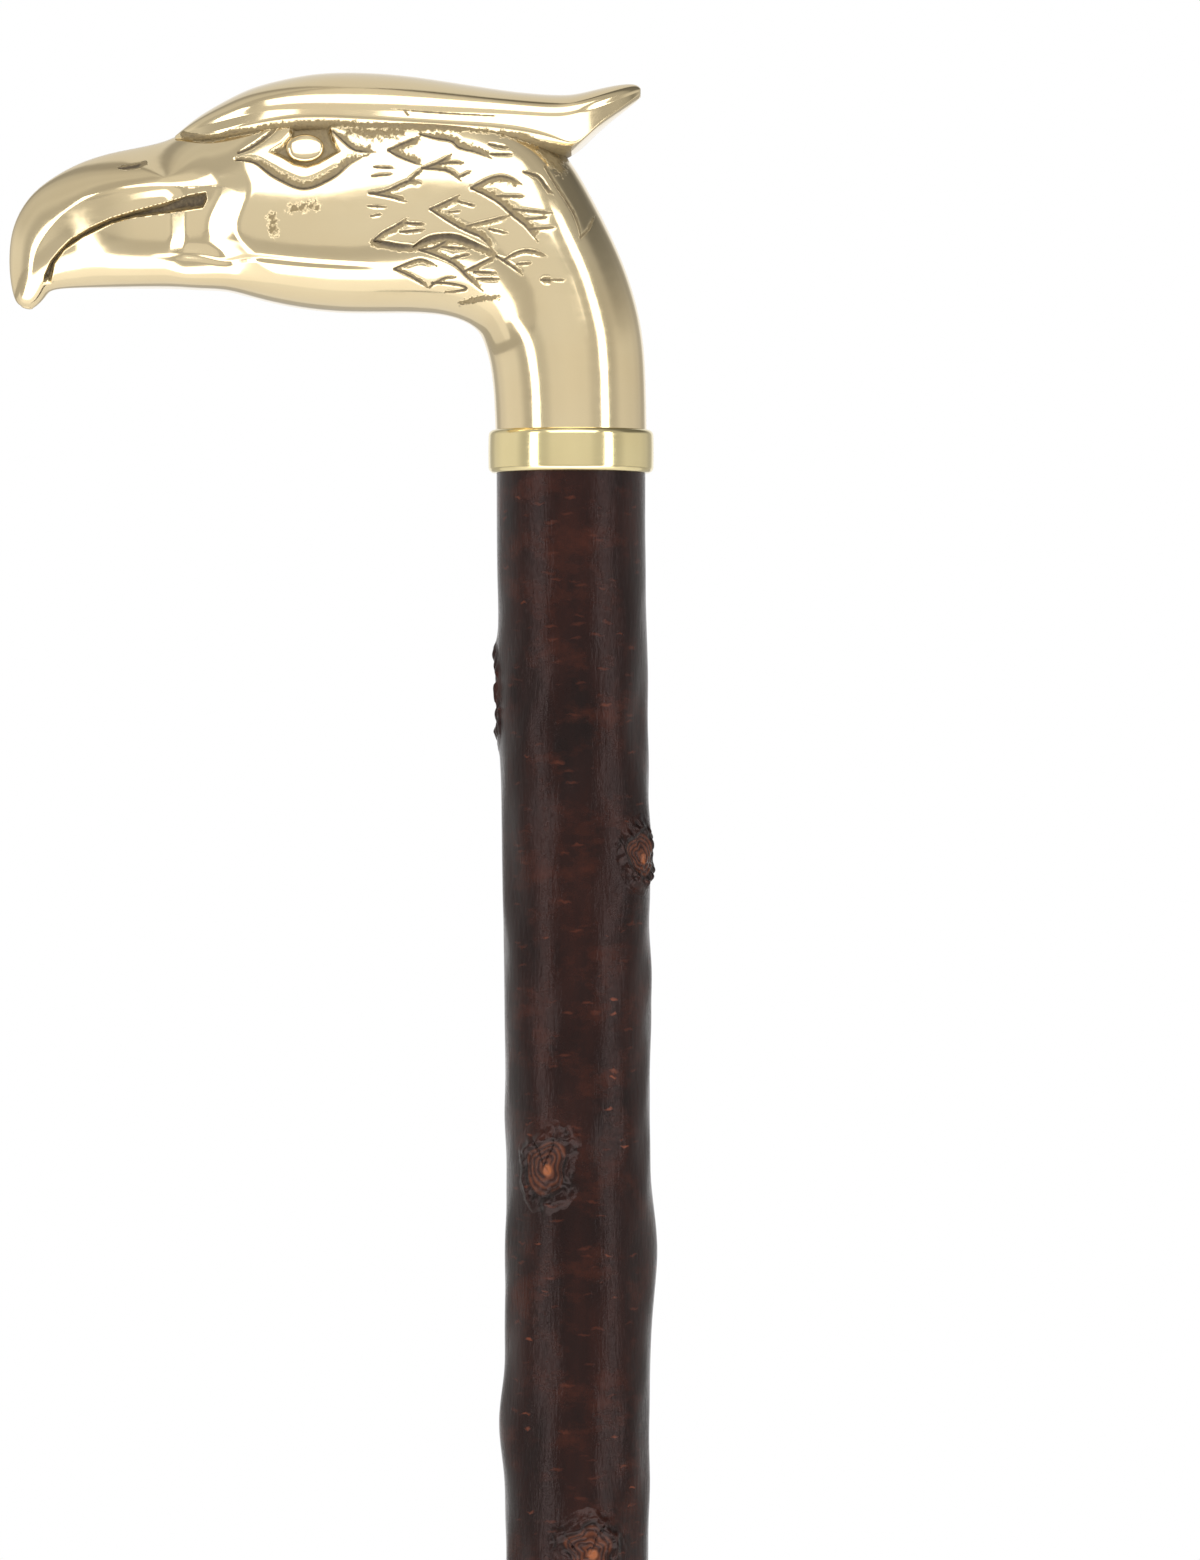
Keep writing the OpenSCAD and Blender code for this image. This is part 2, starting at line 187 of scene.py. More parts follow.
# The room is duller above at its sides and behind: the degrees and the rise of a direction at which
# that begins and is full, and its shares on the left, on the right and behind
DULL_DEGREES = (62, 95)
DULL_END_DEGREES = (135, 160)
DULL_RISE = (0.12, 0.45)
DULL_SHARES = (0.22, 0.72, 0.25)
FLOOR_SIZE = 9
FLOOR_COLOUR = (0.80, 0.79, 0.77, 1)
FLOOR_ROUGHNESS = 0.8


def ramp_stops(ramp, stops):
    """Sets the stops of a colour ramp from pairs of place and colour."""
    while len(ramp.elements) > 1:
        ramp.elements.remove(ramp.elements[-1])
    ramp.elements[0].position = stops[0][0]
    ramp.elements[0].color = stops[0][1]
    for place, colour in stops[1:]:
        ramp.elements.new(place).color = colour


def fill(tree, node, inputs):
    """Gives a node's inputs their values: a socket is linked, and a plain value is set."""
    for key, value in inputs.items():
        if isinstance(value, bpy.types.NodeSocket):
            tree.links.new(value, node.inputs[key])
        else:
            node.inputs[key].default_value = value


def add_node(tree, kind, inputs, **settings):
    """A new node of a kind, with its settings and its inputs."""
    node = tree.nodes.new(f"ShaderNode{kind}")
    for name, value in settings.items():
        setattr(node, name, value)
    fill(tree, node, inputs)
    return node


def calculate(tree, operation, *values):
    """A sum of numbers and sockets, worked out by a node."""
    return add_node(tree, "Math", dict(enumerate(values)), operation=operation).outputs[0]


def smooth_step(tree, value, low, high):
    """Rises smoothly from 0 at the low value to 1 at the high one."""
    inputs = {"Value": value, "From Min": low, "From Max": high}
    return add_node(tree, "MapRange", inputs, interpolation_type="SMOOTHSTEP").outputs["Result"]


world = bpy.data.worlds.new("studio_room")
bpy.context.scene.world = world
world.use_nodes = True
tree = world.node_tree
direction = tree.nodes.new("ShaderNodeTexCoord").outputs["Generated"]
side, ahead, rise = add_node(tree, "SeparateXYZ", {0: direction}).outputs
turn = calculate(tree, "ARCTAN2", side, calculate(tree, "MULTIPLY", ahead, -1))
share = calculate(tree, "ADD", calculate(tree, "DIVIDE", turn, 2 * math.pi), 0.5)
wash = add_node(tree, "ValToRGB", {"Fac": share})
wash.color_ramp.interpolation = "EASE"
ramp_stops(wash.color_ramp, [
    (degrees / 360 + 0.5, tuple(level * t for t in (ROOM_TINT if level < 1 else (1, 1, 1))) + (1,))
    for degrees, level in ROOM_LEVELS])
aside = calculate(tree, "ABSOLUTE", turn)
sideways = smooth_step(tree, aside, *(math.radians(degrees) for degrees in DULL_DEGREES))
behind = smooth_step(tree, aside, *(math.radians(degrees) for degrees in DULL_END_DEGREES))
sideways = calculate(tree, "MULTIPLY", sideways, calculate(tree, "SUBTRACT", 1, behind))
right = calculate(tree, "GREATER_THAN", turn, 0)
side_share = calculate(tree, "MULTIPLY_ADD", right, DULL_SHARES[1] - DULL_SHARES[0], DULL_SHARES[0])
back_share = calculate(tree, "MULTIPLY", behind, DULL_SHARES[2])
dull = calculate(tree, "MULTIPLY_ADD", sideways, side_share, back_share)
dulled = calculate(tree, "MULTIPLY", dull, smooth_step(tree, rise, *DULL_RISE))
level = calculate(tree, "SUBTRACT", 1, dulled)
fill(tree, tree.nodes["Background"], {"Color": wash.outputs["Color"], "Strength": level})

deselect()
bpy.ops.mesh.primitive_plane_add(size=FLOOR_SIZE, location=(0, 0, floor_z))
floor = bpy.context.object
floor.name = "floor"
paper = bpy.data.materials.new("floor_paper")
paper.use_nodes = True
fill(paper.node_tree, paper.node_tree.nodes["Principled BSDF"],
     {"Base Color": FLOOR_COLOUR, "Roughness": FLOOR_ROUGHNESS})
floor.data.materials.append(paper)
bpy.context.scene.view_settings.view_transform = "Standard"
print("floor at", round(floor_z, 3), "m")

# %% [markdown]
# ## Finishes
# Each finish is a small tree of nodes on Object coordinates, so that a pattern keeps its size and
# place on the piece. The polished casting darkens where a painted attribute says that old patina
# sits in a cut, and where it holds painted shade under the crest's rim, up the walls of cuts and in
# the cheek's deep crescents.


# %% Node helpers
def new_material(name):
    """A material with its node tree, its shader and its Object coordinates."""
    material = bpy.data.materials.new(name)
    material.use_nodes = True
    tree = material.node_tree
    place = tree.nodes.new("ShaderNodeTexCoord").outputs["Object"]
    return material, tree, tree.nodes["Principled BSDF"], place


def stretched(tree, place, scale):
    """Coordinates scaled by a different amount along each axis."""
    return add_node(tree, "Mapping", {"Vector": place, "Scale": scale}).outputs["Vector"]


def noise(tree, place, scale, detail=3, roughness=0.5):
    """A noise texture's value, from 0 to 1."""
    inputs = {"Vector": place, "Scale": scale, "Detail": detail, "Roughness": roughness}
    return add_node(tree, "TexNoise", inputs).outputs["Fac"]


def full_colour(colour):
    """A colour with its opacity. One number stands for a grey, and a socket stays as it is."""
    if isinstance(colour, bpy.types.NodeSocket):
        return colour
    return (*colour, 1) if isinstance(colour, tuple) else (colour, colour, colour, 1)


def ramp(tree, value, stops):
    """A colour ramp over a value. A stop's colour is grey where it is one number."""
    node = add_node(tree, "ValToRGB", {"Fac": value})
    ramp_stops(node.color_ramp, [(at, full_colour(colour)) for at, colour in stops])
    return node.outputs["Color"]


# The factor and the two colours among the inputs of a mix node, and its colour among the outputs
MIX_INPUTS, MIX_OUTPUT = (0, 6, 7), 2


def mix(tree, factor, first, second):
    """The second colour laid over the first one by a factor."""
    values = (factor, full_colour(first), full_colour(second))
    node = add_node(tree, "Mix", {}, data_type="RGBA")
    fill(tree, node, dict(zip(MIX_INPUTS, values)))
    return node.outputs[MIX_OUTPUT]


def bump(tree, height, strength, distance, under=None):
    """A bumped normal, on top of another one where it is given."""
    inputs = {"Height": height, "Strength": strength, "Distance": distance}
    if under is not None:
        inputs["Normal"] = under
    return add_node(tree, "Bump", inputs).outputs["Normal"]


def attribute(tree, name):
    """A value painted on the mesh."""
    return add_node(tree, "Attribute", {}, attribute_name=name).outputs["Fac"]


# %% Cast brass
CAST_BRASS = (0.875, 0.735, 0.475)
CAST_BRASS_WARM = (0.85, 0.695, 0.43)
# The two brown colours are patina, and also painted shade under the crest's rim, up the walls of
# cuts and in the cheek's deep crescents
PATINA_AND_SHADE = (0.075, 0.053, 0.028)
PATINA_AND_SHADE_THIN = (0.24, 0.182, 0.092)


def cast_brass():
    """Polished casting: bright brass with a matt brown film where patina and painted shade are
    painted.
    """
    material, tree, shader, place = new_material("cast_brass")
    cloud = noise(tree, place, 55, 4)
    brass = mix(tree, ramp(tree, cloud, [(0.35, 0.0), (0.7, 1.0)]), CAST_BRASS, CAST_BRASS_WARM)
    grit = noise(tree, place, 1500, 3, 0.65)
    crumbs = ramp(tree, grit, [(0.35, 0.0), (0.7, 0.26)])
    ragged = calculate(tree, "ADD", attribute(tree, "patina_and_shade"), crumbs)
    thin = ramp(tree, ragged, [(0.28, 0.0), (0.42, 1.0)])
    thick = ramp(tree, ragged, [(0.55, 0.0), (1.0, 1.0)])
    film_and_shade = mix(tree, calculate(tree, "MULTIPLY", thin, 0.97), brass, PATINA_AND_SHADE_THIN)
    wear = noise(tree, stretched(tree, place, (260, 260, 900)), 1, 4, 0.6)
    smooth = ramp(tree, wear, [(0.3, 0.09), (0.75, 0.15)])
    ripple = bump(tree, noise(tree, place, 210, 2, 0.4), 0.05, 0.0006)
    pits = calculate(tree, "MULTIPLY", grit, thin)
    fill(tree, shader, {
        "Base Color": mix(tree, calculate(tree, "MULTIPLY", thick, 0.95), film_and_shade, PATINA_AND_SHADE),
        "Metallic": ramp(tree, ragged, [(0.37, 1.0), (0.56, 0.04)]),
        "Roughness": calculate(tree, "ADD", smooth, calculate(tree, "MULTIPLY", thin, 0.4)),
        "Normal": bump(tree, pits, 0.6, 0.0002, ripple)})
    return material


finish_cast_brass = cast_brass()
print("finish:", finish_cast_brass.name)

# %% [markdown]
# ## The head's skin
# The real head is one casting, filed and polished, so its big forms are smooth and its reflections
# flow. Subdivision modelling could give it, but a loft through sections follows the picture's
# outline point for point. Each section spans from the crown line to the throat line. A natural
# spline joins the sections, which keeps the curvature steady, and a grid is wrapped over the result
# and sewn shut.

# %% Head sections
NECK_R = 12.6 * MM
HEAD_HALF = 14.5 * MM
# [crown x, crown z, throat x, throat z, half width, height of the widest line, upper and lower
# squareness] x is a share of the head's reach, z of its rise and half width of half its width. The
# widest line's height is a share of the way from throat to crown.
HEAD_SHARES = [
    [-0.979, 0.347, -0.958, 0.341, 0.055, 0.44, 2.00, 2.0],
    [-0.990, 0.366, -0.947, 0.354, 0.130, 0.40, 1.85, 2.0],
    [-0.998, 0.420, -0.936, 0.373, 0.205, 0.38, 1.75, 2.0],
    [-1.000, 0.491, -0.928, 0.387, 0.270, 0.40, 1.68, 2.0],
    [-0.992, 0.571, -0.914, 0.394, 0.325, 0.46, 1.62, 2.1],
    [-0.965, 0.649, -0.891, 0.397, 0.380, 0.55, 1.55, 2.4],
    [-0.921, 0.708, -0.857, 0.398, 0.465, 0.65, 1.46, 3.0],
    [-0.860, 0.756, -0.812, 0.398, 0.600, 0.69, 1.42, 3.6],
    [-0.785, 0.788, -0.759, 0.398, 0.710, 0.69, 1.36, 3.9],
    [-0.721, 0.812, -0.705, 0.397, 0.765, 0.66, 1.33, 3.9],
    [-0.668, 0.849, -0.657, 0.393, 0.800, 0.61, 1.33, 3.6],
    [-0.609, 0.885, -0.609, 0.387, 0.845, 0.56, 1.55, 3.2],
    [-0.545, 0.915, -0.550, 0.363, 0.910, 0.45, 2.15, 2.9],
    [-0.470, 0.940, -0.481, 0.341, 0.965, 0.40, 2.25, 2.7],
    [-0.385, 0.945, -0.406, 0.329, 0.995, 0.40, 2.42, 2.7],
    [-0.288, 0.940, -0.326, 0.328, 1.000, 0.42, 2.62, 2.7],
    [-0.182, 0.918, -0.256, 0.326, 0.985, 0.46, 2.60, 2.6],
    [-0.085, 0.865, -0.208, 0.314, 0.960, 0.49, 2.40, 2.4],
    [-0.014, 0.775, -0.179, 0.294, 0.930, 0.50, 2.30, 2.3],
]
# The neck, in the same order. x and half width are shares of the neck's radius.
NECK_SHARES = [
    [0.238, 0.664, -1.206, 0.269, 1.045, 0.50, 2.2, 2.2],
    [0.540, 0.538, -1.135, 0.235, 1.012, 0.50, 2.1, 2.1],
    [0.778, 0.412, -1.079, 0.193, 1.000, 0.50, 2.0, 2.0],
    [0.929, 0.282, -1.040, 0.141, 1.000, 0.50, 2.0, 2.0],
    [0.984, 0.151, -1.016, 0.081, 1.000, 0.50, 2.0, 2.0],
    [1.000, 0.000, -1.000, 0.000, 1.000, 0.50, 2.0, 2.0],
]
head_reach = -head_low.x
head_rise = head_high.z - neck_foot


def spline(rows, places):
    """A natural cubic spline through the rows of a table, read at places between them."""
    rows = np.asarray(rows, float)
    count = len(rows)
    system = np.eye(count)
    for i in range(1, count - 1):
        system[i, i - 1:i + 2] = 1, 4, 1
    pull = np.zeros_like(rows)
    pull[1:-1] = 6 * (rows[2:] - 2 * rows[1:-1] + rows[:-2])
    bend = np.linalg.solve(system, pull)
    i = np.clip(np.floor(places).astype(int), 0, count - 2)
    t = (places - i)[:, None]
    s = 1 - t
    return s * rows[i] + t * rows[i + 1] + ((s**3 - s) * bend[i] + (t**3 - t) * bend[i + 1]) / 6


def half_sections(rows, turns):
    """Points of the near half of each section, at turns from the crown (0) to the throat (pi)."""
    crown_x, crown_z, throat_x, throat_z, half, widest, upper, lower = np.hsplit(rows, 8)
    power = 2 / np.where(np.cos(turns) > 0, upper, lower)
    up = np.sign(np.cos(turns)) * np.abs(np.cos(turns)) ** power
    out = np.abs(np.sin(turns)) ** power
    height = widest + np.where(up > 0, 1 - widest, widest) * up
    x = throat_x + (crown_x - throat_x) * height
    z = throat_z + (crown_z - throat_z) * height
    return np.stack([x, -half * out, z + neck_foot], axis=-1)


def spread(lengths, density, count):
    """Places along a run, closer together where the density is high, as positions in the run."""
    total = np.concatenate([[0], np.cumsum(lengths * density)])
    return np.interp(np.linspace(0, total[-1], count), total, np.arange(len(total)))


FINE_RINGS = 2000
FINE_TURNS = 721


def near_half_of_loft(table, ring_count, column_count, ring_density, column_density):
    """The near half of a loft: rings of points from crown to throat, and their places along it."""
    fine_places = np.linspace(0, len(table) - 1, FINE_RINGS)
    side_line = half_sections(spline(table, fine_places), np.array([[math.pi / 2]]))[:, 0]
    steps = np.linalg.norm(np.diff(side_line, axis=0), axis=1)
    weights = np.interp(fine_places[1:], *np.array(ring_density).T)
    places = np.interp(spread(steps, weights, ring_count), np.arange(FINE_RINGS), fine_places)
    rows = spline(table, places)
    fine_turns = np.linspace(0, math.pi, FINE_TURNS)
    weights = np.interp(np.degrees(fine_turns[1:]), *np.array(column_density).T)
    turns = np.array([
        np.interp(spread(np.linalg.norm(np.diff(ring, axis=0), axis=1), weights, column_count),
                  np.arange(FINE_TURNS), fine_turns)
        for ring in half_sections(rows, fine_turns[None, :])])
    return half_sections(rows, turns), places


HEAD_RINGS = 790
HEAD_HALF_COLUMNS = 221
# How closely rings lie along the head, by section, and columns round it, by degrees from the crown
HEAD_RING_DENSITY = [(0, 0.7), (8, 0.7), (9, 1.0), (18.4, 1.0), (19, 0.6), (24, 0.35)]
HEAD_COLUMN_DENSITY = [(0, 0.15), (40, 0.3), (58, 1.0), (140, 1.0), (165, 0.5), (180, 0.4)]

head_scale = np.array([head_reach, head_rise, head_reach, head_rise, HEAD_HALF, 1, 1, 1])
neck_scale = np.array([NECK_R, head_rise, NECK_R, head_rise, NECK_R, 1, 1, 1])
head_table = np.concatenate([np.array(HEAD_SHARES) * head_scale,
                             np.array(NECK_SHARES) * neck_scale])
head_half_skin, head_places = near_half_of_loft(
    head_table, HEAD_RINGS, HEAD_HALF_COLUMNS, HEAD_RING_DENSITY, HEAD_COLUMN_DENSITY)
print("head:", len(head_table), "sections,", head_half_skin.shape[:2], "points in its near half")

# %% [markdown]
# ## Carving
# The carver's marks are measured in the picture's pixels: chisel cuts, the almond of the eye, the
# mouth slot and the softer hollows. Each point of the near cheek knows its pixel, so a mark pushes
# it in along the skin's normal. The far cheek is the mirror image, as both sides of such a casting
# are.


# %% Carving tools
PATH_STEPS = 6


def from_segment(px, py, start, end):
    """Distance of pixels to a segment, how far along it they lie, and on which side of it."""
    (ax, ay), (bx, by) = start, end
    length = math.hypot(bx - ax, by - ay)
    dx, dy = (bx - ax) / length, (by - ay) / length
    along = np.clip((px - ax) * dx + (py - ay) * dy, 0, length)
    away = np.hypot(px - ax - along * dx, py - ay - along * dy)
    return away, along, dx * (py - ay) - dy * (px - ax)


def stroke(px, py, points):
    """Distance to a stroke, the side of it (positive below) and the share of its length."""
    path = np.array(points, float)
    if len(path) > 2:
        path = spline(path, np.linspace(0, len(path) - 1, PATH_STEPS * len(path)))
    starts = np.concatenate([[0], np.cumsum(np.hypot(*np.diff(path, axis=0).T))])
    best = np.full(px.shape, np.inf)
    side, share = np.zeros(px.shape), np.zeros(px.shape)
    for a, b, start in zip(path[:-1], path[1:], starts):
        away, along, turned_to = from_segment(px, py, a, b)
        nearer = away < best
        best = np.where(nearer, away, best)
        side = np.where(nearer, turned_to, side)
        share = np.where(nearer, (start + along) / starts[-1], share)
    return best, side, share


def near(px, py, points, reach):
    """Rows and columns of the grid that a mark can touch, so that the rest is skipped."""
    (left, top), (right, foot) = np.min(points, axis=0) - reach, np.max(points, axis=0) + reach
    return np.nonzero((px > left) & (px < right) & (py > top) & (py < foot))


def wall_width(away, side, above, below):
    """Width of a mark's wall: one on each side, with a smooth change round the mark's ends."""
    turned_to = np.clip(side / np.maximum(away, 1e-6), -1, 1)
    return (above + below) / 2 + (below - above) / 2 * turned_to


def falls(value, end, length):
    """1 up to a length before the end, then straight down to 0 at the end."""
    return np.clip((end - value) / length, 0, 1)


CUT_WIDTH_SHARE = 0.75
CUT_DEPTH_SHARE = 0.45
# A cut starts as narrow as this, and opens and runs out over these shares of its length
CUT_POINT, CUT_OPENS, CUT_ENDS = 0.3, 0.25, 0.3
# A brown film of patina and painted shade thins out up the walls of a cut, and a darker line of this
# width lies on its floor
FILM_AND_SHADE_STRENGTH, FILM_AND_SHADE_REACH = 0.53, 0.85
LINE_PX, LINE_STRENGTH, LINE_LEFT = 1.15, 1.4, 0.3


def chisel(px, py, above, below, points):
    """Shares of a cut's depth and of its patina and painted shade: full on its line, less up its
    walls and at its end.
    """
    above, below = above * CUT_WIDTH_SHARE, below * CUT_WIDTH_SHARE
    spot = near(px, py, points, max(above, below))
    away, side, share = stroke(px[spot], py[spot], points)
    opening = CUT_POINT + (1 - CUT_POINT) * np.clip(share / CUT_OPENS, 0, 1)
    down = 1 - away / (wall_width(away, side, above, below) * opening)
    ending = falls(share, 1, CUT_ENDS)
    depth, ink_and_shade = np.zeros(px.shape), np.zeros(px.shape)
    depth[spot] = CUT_DEPTH_SHARE * np.clip(down, 0, 1) * ending
    film_and_shade = FILM_AND_SHADE_STRENGTH * np.clip(down / FILM_AND_SHADE_REACH, 0, 1) * np.clip(ending * 2, 0, 1)
    line = np.clip(LINE_STRENGTH - away / LINE_PX, 0, 1) * (LINE_LEFT + (1 - LINE_LEFT) * ending)
    ink_and_shade[spot] = np.maximum(film_and_shade, line)
    return depth, ink_and_shade


ROUNDING = 0.22


def rounded_ramp(t):
    """Falls from 1 to 0 as a straight slope that is rounded at both of its ends."""
    t = np.clip(t, 0, 1)
    start, end = t**2 / (2 * ROUNDING), 1 - ROUNDING - (1 - t) ** 2 / (2 * ROUNDING)
    fall = np.where(t < ROUNDING, start, np.where(t > 1 - ROUNDING, end, t - ROUNDING / 2))
    return 1 - fall / (1 - ROUNDING)


def hollow(px, py, above, below, heights, points):
    """A soft hollow or swelling with straight flanks, whose height changes along its path."""
    spot = near(px, py, points, max(above, below))
    away, side, share = stroke(px[spot], py[spot], points)
    wall = wall_width(away, side, above, below)
    height = np.zeros(px.shape)
    heights_here = np.interp(share, np.linspace(0, 1, len(heights)), heights)
    height[spot] = heights_here * rounded_ramp(away / wall)
    return height


def valley(px, py):
    """The hollow between beak and cheek: a floor between two walls, fading out up and down."""
    places = np.linspace(0, len(VALLEY_LINE) - 1, VALLEY_STEPS)
    line_x, line_y, line_floor = spline(VALLEY_LINE, places).T
    away = px - np.interp(py, line_y, line_x)
    floor_width = np.interp(py, line_y, line_floor)
    away = np.where(away > 0, away, np.minimum(away + floor_width, 0))
    (top, full), (last, foot) = VALLEY_TOP, VALLEY_FOOT
    upper = rounded_ramp((full - py) / (full - top))
    lower = rounded_ramp((py - last) / (foot - last))
    left, left_above, right = VALLEY_WALLS
    wall = np.where(away > 0, right, left + (left_above - left) * (1 - upper) ** VALLEY_FLARE)
    return -VALLEY_DEPTH * rounded_ramp(np.abs(away) / wall) * upper * lower


def recess(px, py, outline, wall):
    """Share of a recess's depth inside a closed outline with sloping walls."""
    inside = np.zeros(px.shape, bool)
    nearest = np.full(px.shape, np.inf)
    for (ax, ay), (bx, by) in zip(outline, outline[1:] + outline[:1]):
        nearest = np.minimum(nearest, from_segment(px, py, (ax, ay), (bx, by))[0])
        run = (bx - ax) / (by - ay) if by != ay else 0
        inside ^= ((ay > py) != (by > py)) & (px < ax + (py - ay) * run)
    return np.where(inside, np.clip(nearest / wall, 0, 1), 0)


def skin_normals(grid):
    """Unit normals of a half skin, away from the stick's middle plane."""
    normal = np.cross(np.gradient(grid, axis=0), np.gradient(grid, axis=1))
    normal /= np.maximum(np.linalg.norm(normal, axis=-1, keepdims=True), 1e-12)
    return -normal if normal[:, grid.shape[1] // 2, 1].mean() > 0 else normal


# %% Marks on the head
# The valley: (x, y, width of the floor to the left) down its line, the widths of its left wall
# below and above and of its right wall, how soon the left wall widens, the heights between which it
# begins and ends, and its depth in mm
VALLEY_LINE = [
    (190, 128, 0), (198, 148, 0), (205, 166, 0), (211, 180, 6), (211, 192, 17), (205, 206, 16),
    (199, 222, 11), (200, 236, 12), (209, 250, 23), (223, 265, 37), (238, 278, 50)]
VALLEY_STEPS = 200
VALLEY_WALLS = (21, 130, 44)
VALLEY_FLARE = 1.5
VALLEY_TOP, VALLEY_FOOT = (128, 218), (243, 286)
VALLEY_DEPTH = 1.7
# Soft forms: (width above, width below, heights in mm along the path, path)
SOFT_FORMS = [
    (8, 10, [0, -0.1, -0.1, -0.15, 0], [(60, 205), (93, 201), (138, 191), (175, 187), (200, 184)]),
    (4, 5, [0, -0.14, -0.16, -0.14, -0.10, 0],
     [(150, 257), (196, 259), (225, 264), (250, 258), (300, 262), (400, 268)]),
]
# Chisel cuts: (depth in mm, width above, width below, path from left to right)
LID_CUTS = [
    (1.10, 15, 3.5, [(236, 160), (254, 162), (268, 172), (285, 182), (303, 188), (321, 183),
                     (338, 173), (351, 162), (370, 154)]),
    (0.50, 4, 5, [(238, 153), (254, 145), (278, 127)]),
    (0.70, 12, 3, [(333, 131), (346, 143), (357, 150), (376, 152)]),
]
FEATHER_CUTS = [
    (0.55, 3, 12, [(388, 150), (406, 142), (421, 136)]),
    (0.55, 12, 3, [(388, 150), (401, 157), (422, 165)]),
    (0.60, 4, 9, [(422, 168), (437, 163), (452, 154)]),
    (0.45, 3, 5, [(440, 164), (452, 162), (464, 163)]),
    (0.60, 6, 4, [(422, 168), (441, 169), (452, 173), (461, 181)]),
    (0.35, 3, 4, [(459, 177), (471, 171)]),
    (0.45, 4, 5, [(406, 183), (414, 176), (423, 168)]),
    (0.55, 3, 8, [(369, 193), (388, 190), (408, 181), (422, 184)]),
    (0.55, 8, 3, [(369, 193), (391, 197), (407, 202)]),
    (0.55, 12, 3, [(420, 134), (437, 138), (452, 141), (459, 147), (474, 151), (493, 159)]),
    (0.40, 3, 4, [(489, 144), (508, 148)]),
    (0.40, 3, 4, [(491, 154), (513, 154)]),
    (0.60, 3, 12, [(471, 188), (482, 182), (502, 176), (523, 185)]),
    (0.70, 14, 3, [(471, 188), (490, 197), (503, 206), (515, 217), (526, 226), (538, 242)]),
    (0.40, 3, 5, [(497, 196), (525, 196)]),
    (0.40, 3, 5, [(513, 209), (552, 213)]),
    (0.35, 3, 4, [(526, 219), (549, 217)]),
    (0.35, 3, 4, [(530, 229), (557, 227)]),
    (0.55, 3, 10, [(430, 209), (446, 202), (460, 195)]),
    (0.65, 12, 3, [(430, 209), (447, 220), (467, 231), (482, 238), (494, 252)]),
    (0.40, 3, 4, [(458, 201), (476, 206)]),
    (0.30, 3, 3, [(449, 212), (461, 211)]),
    (0.35, 3, 8, [(467, 226), (491, 220), (512, 215)]),
    (0.40, 3, 4, [(489, 229), (508, 233)]),
    (0.55, 3, 11, [(375, 239), (384, 232), (397, 225), (408, 217)]),
    (0.45, 3, 5, [(405, 223), (426, 224)]),
    (0.45, 3, 5, [(400, 232), (426, 229)]),
    (1.10, 4, 7, [(374, 241), (390, 244), (402, 246), (415, 246)]),
    (1.10, 3, 7, [(413, 247), (427, 238), (442, 235), (458, 236), (474, 243), (495, 252)]),
    (0.50, 3, 8, [(419, 250), (433, 248), (443, 243), (454, 237)]),
    (0.45, 3, 5, [(442, 247), (471, 249)]),
    (0.45, 5, 3, [(451, 259), (471, 254)]),
    (0.65, 10, 3, [(419, 250), (437, 256), (455, 265), (466, 276), (483, 291)]),
    (0.55, 3, 8, [(464, 272), (482, 263), (497, 255)]),
    (0.45, 3, 5, [(474, 272), (497, 273)]),
    (0.45, 3, 5, [(477, 279), (499, 279)]),
    (0.55, 6, 3, [(496, 256), (510, 265), (523, 275)]),
    (0.45, 3, 7, [(504, 260), (518, 252), (533, 251), (548, 257)]),
    (0.35, 3, 4, [(517, 264), (532, 263)]),
    (0.50, 3, 7, [(394, 269), (409, 263), (422, 260), (437, 266)]),
    (0.55, 7, 3, [(394, 269), (411, 277), (429, 288)]),
    (0.35, 3, 4, [(430, 287), (443, 279), (456, 277)]),
    (0.45, 3, 3, [(432, 283), (452, 284), (466, 288), (460, 291), (444, 292)]),
    (0.35, 3, 3, [(374, 167), (395, 168)]),
    (0.30, 3, 3, [(372, 176), (393, 174)]),
    (0.30, 3, 3, [(368, 206), (387, 207)]),
    (0.25, 3, 3, [(371, 216), (382, 214)]),
    (0.50, 3, 6, [(524, 172), (538, 176), (546, 186), (554, 195)]),
    (0.25, 2.5, 2.5, [(545, 167), (559, 190), (574, 214), (581, 238)]),
    (0.25, 2.5, 2.5, [(580, 238), (588, 230), (594, 217)]),
    (0.60, 7, 7, [(541, 280), (552, 280)]),
    (0.25, 2, 2, [(551, 280), (566, 280)]),
    (0.60, 3, 5, [(119, 168), (132, 166), (144, 162)]),
]
EYE_OUTLINE = [
    (267, 151), (282, 158), (293, 165), (306, 168), (319, 164), (331, 157), (341, 151),
    (336, 142), (332, 132), (330, 120), (290, 120), (289, 133), (281, 142)]
MOUTH_OUTLINE = [
    (206, 192), (190, 195), (163, 203), (132, 211), (110, 218), (88, 228), (70, 239), (59, 250),
    (50, 261), (44, 275), (43, 284), (51, 284), (55, 264), (64, 251), (82, 238), (111, 224),
    (132, 218), (169, 213), (190, 210), (203, 208), (207, 200)]
# Depths in mm, widths of the walls and strengths of the patina in these two recesses
EYE_DEPTH, EYE_WALL_PX, EYE_PATINA = 1.1, 5, 0.47
MOUTH_DEPTH, MOUTH_WALL_PX, MOUTH_PATINA = 1.5, 3.2, 0.80
# A cut's patina and painted shade are this strong, and stronger by its depth
CUT_PATINA_AND_SHADE = 0.5
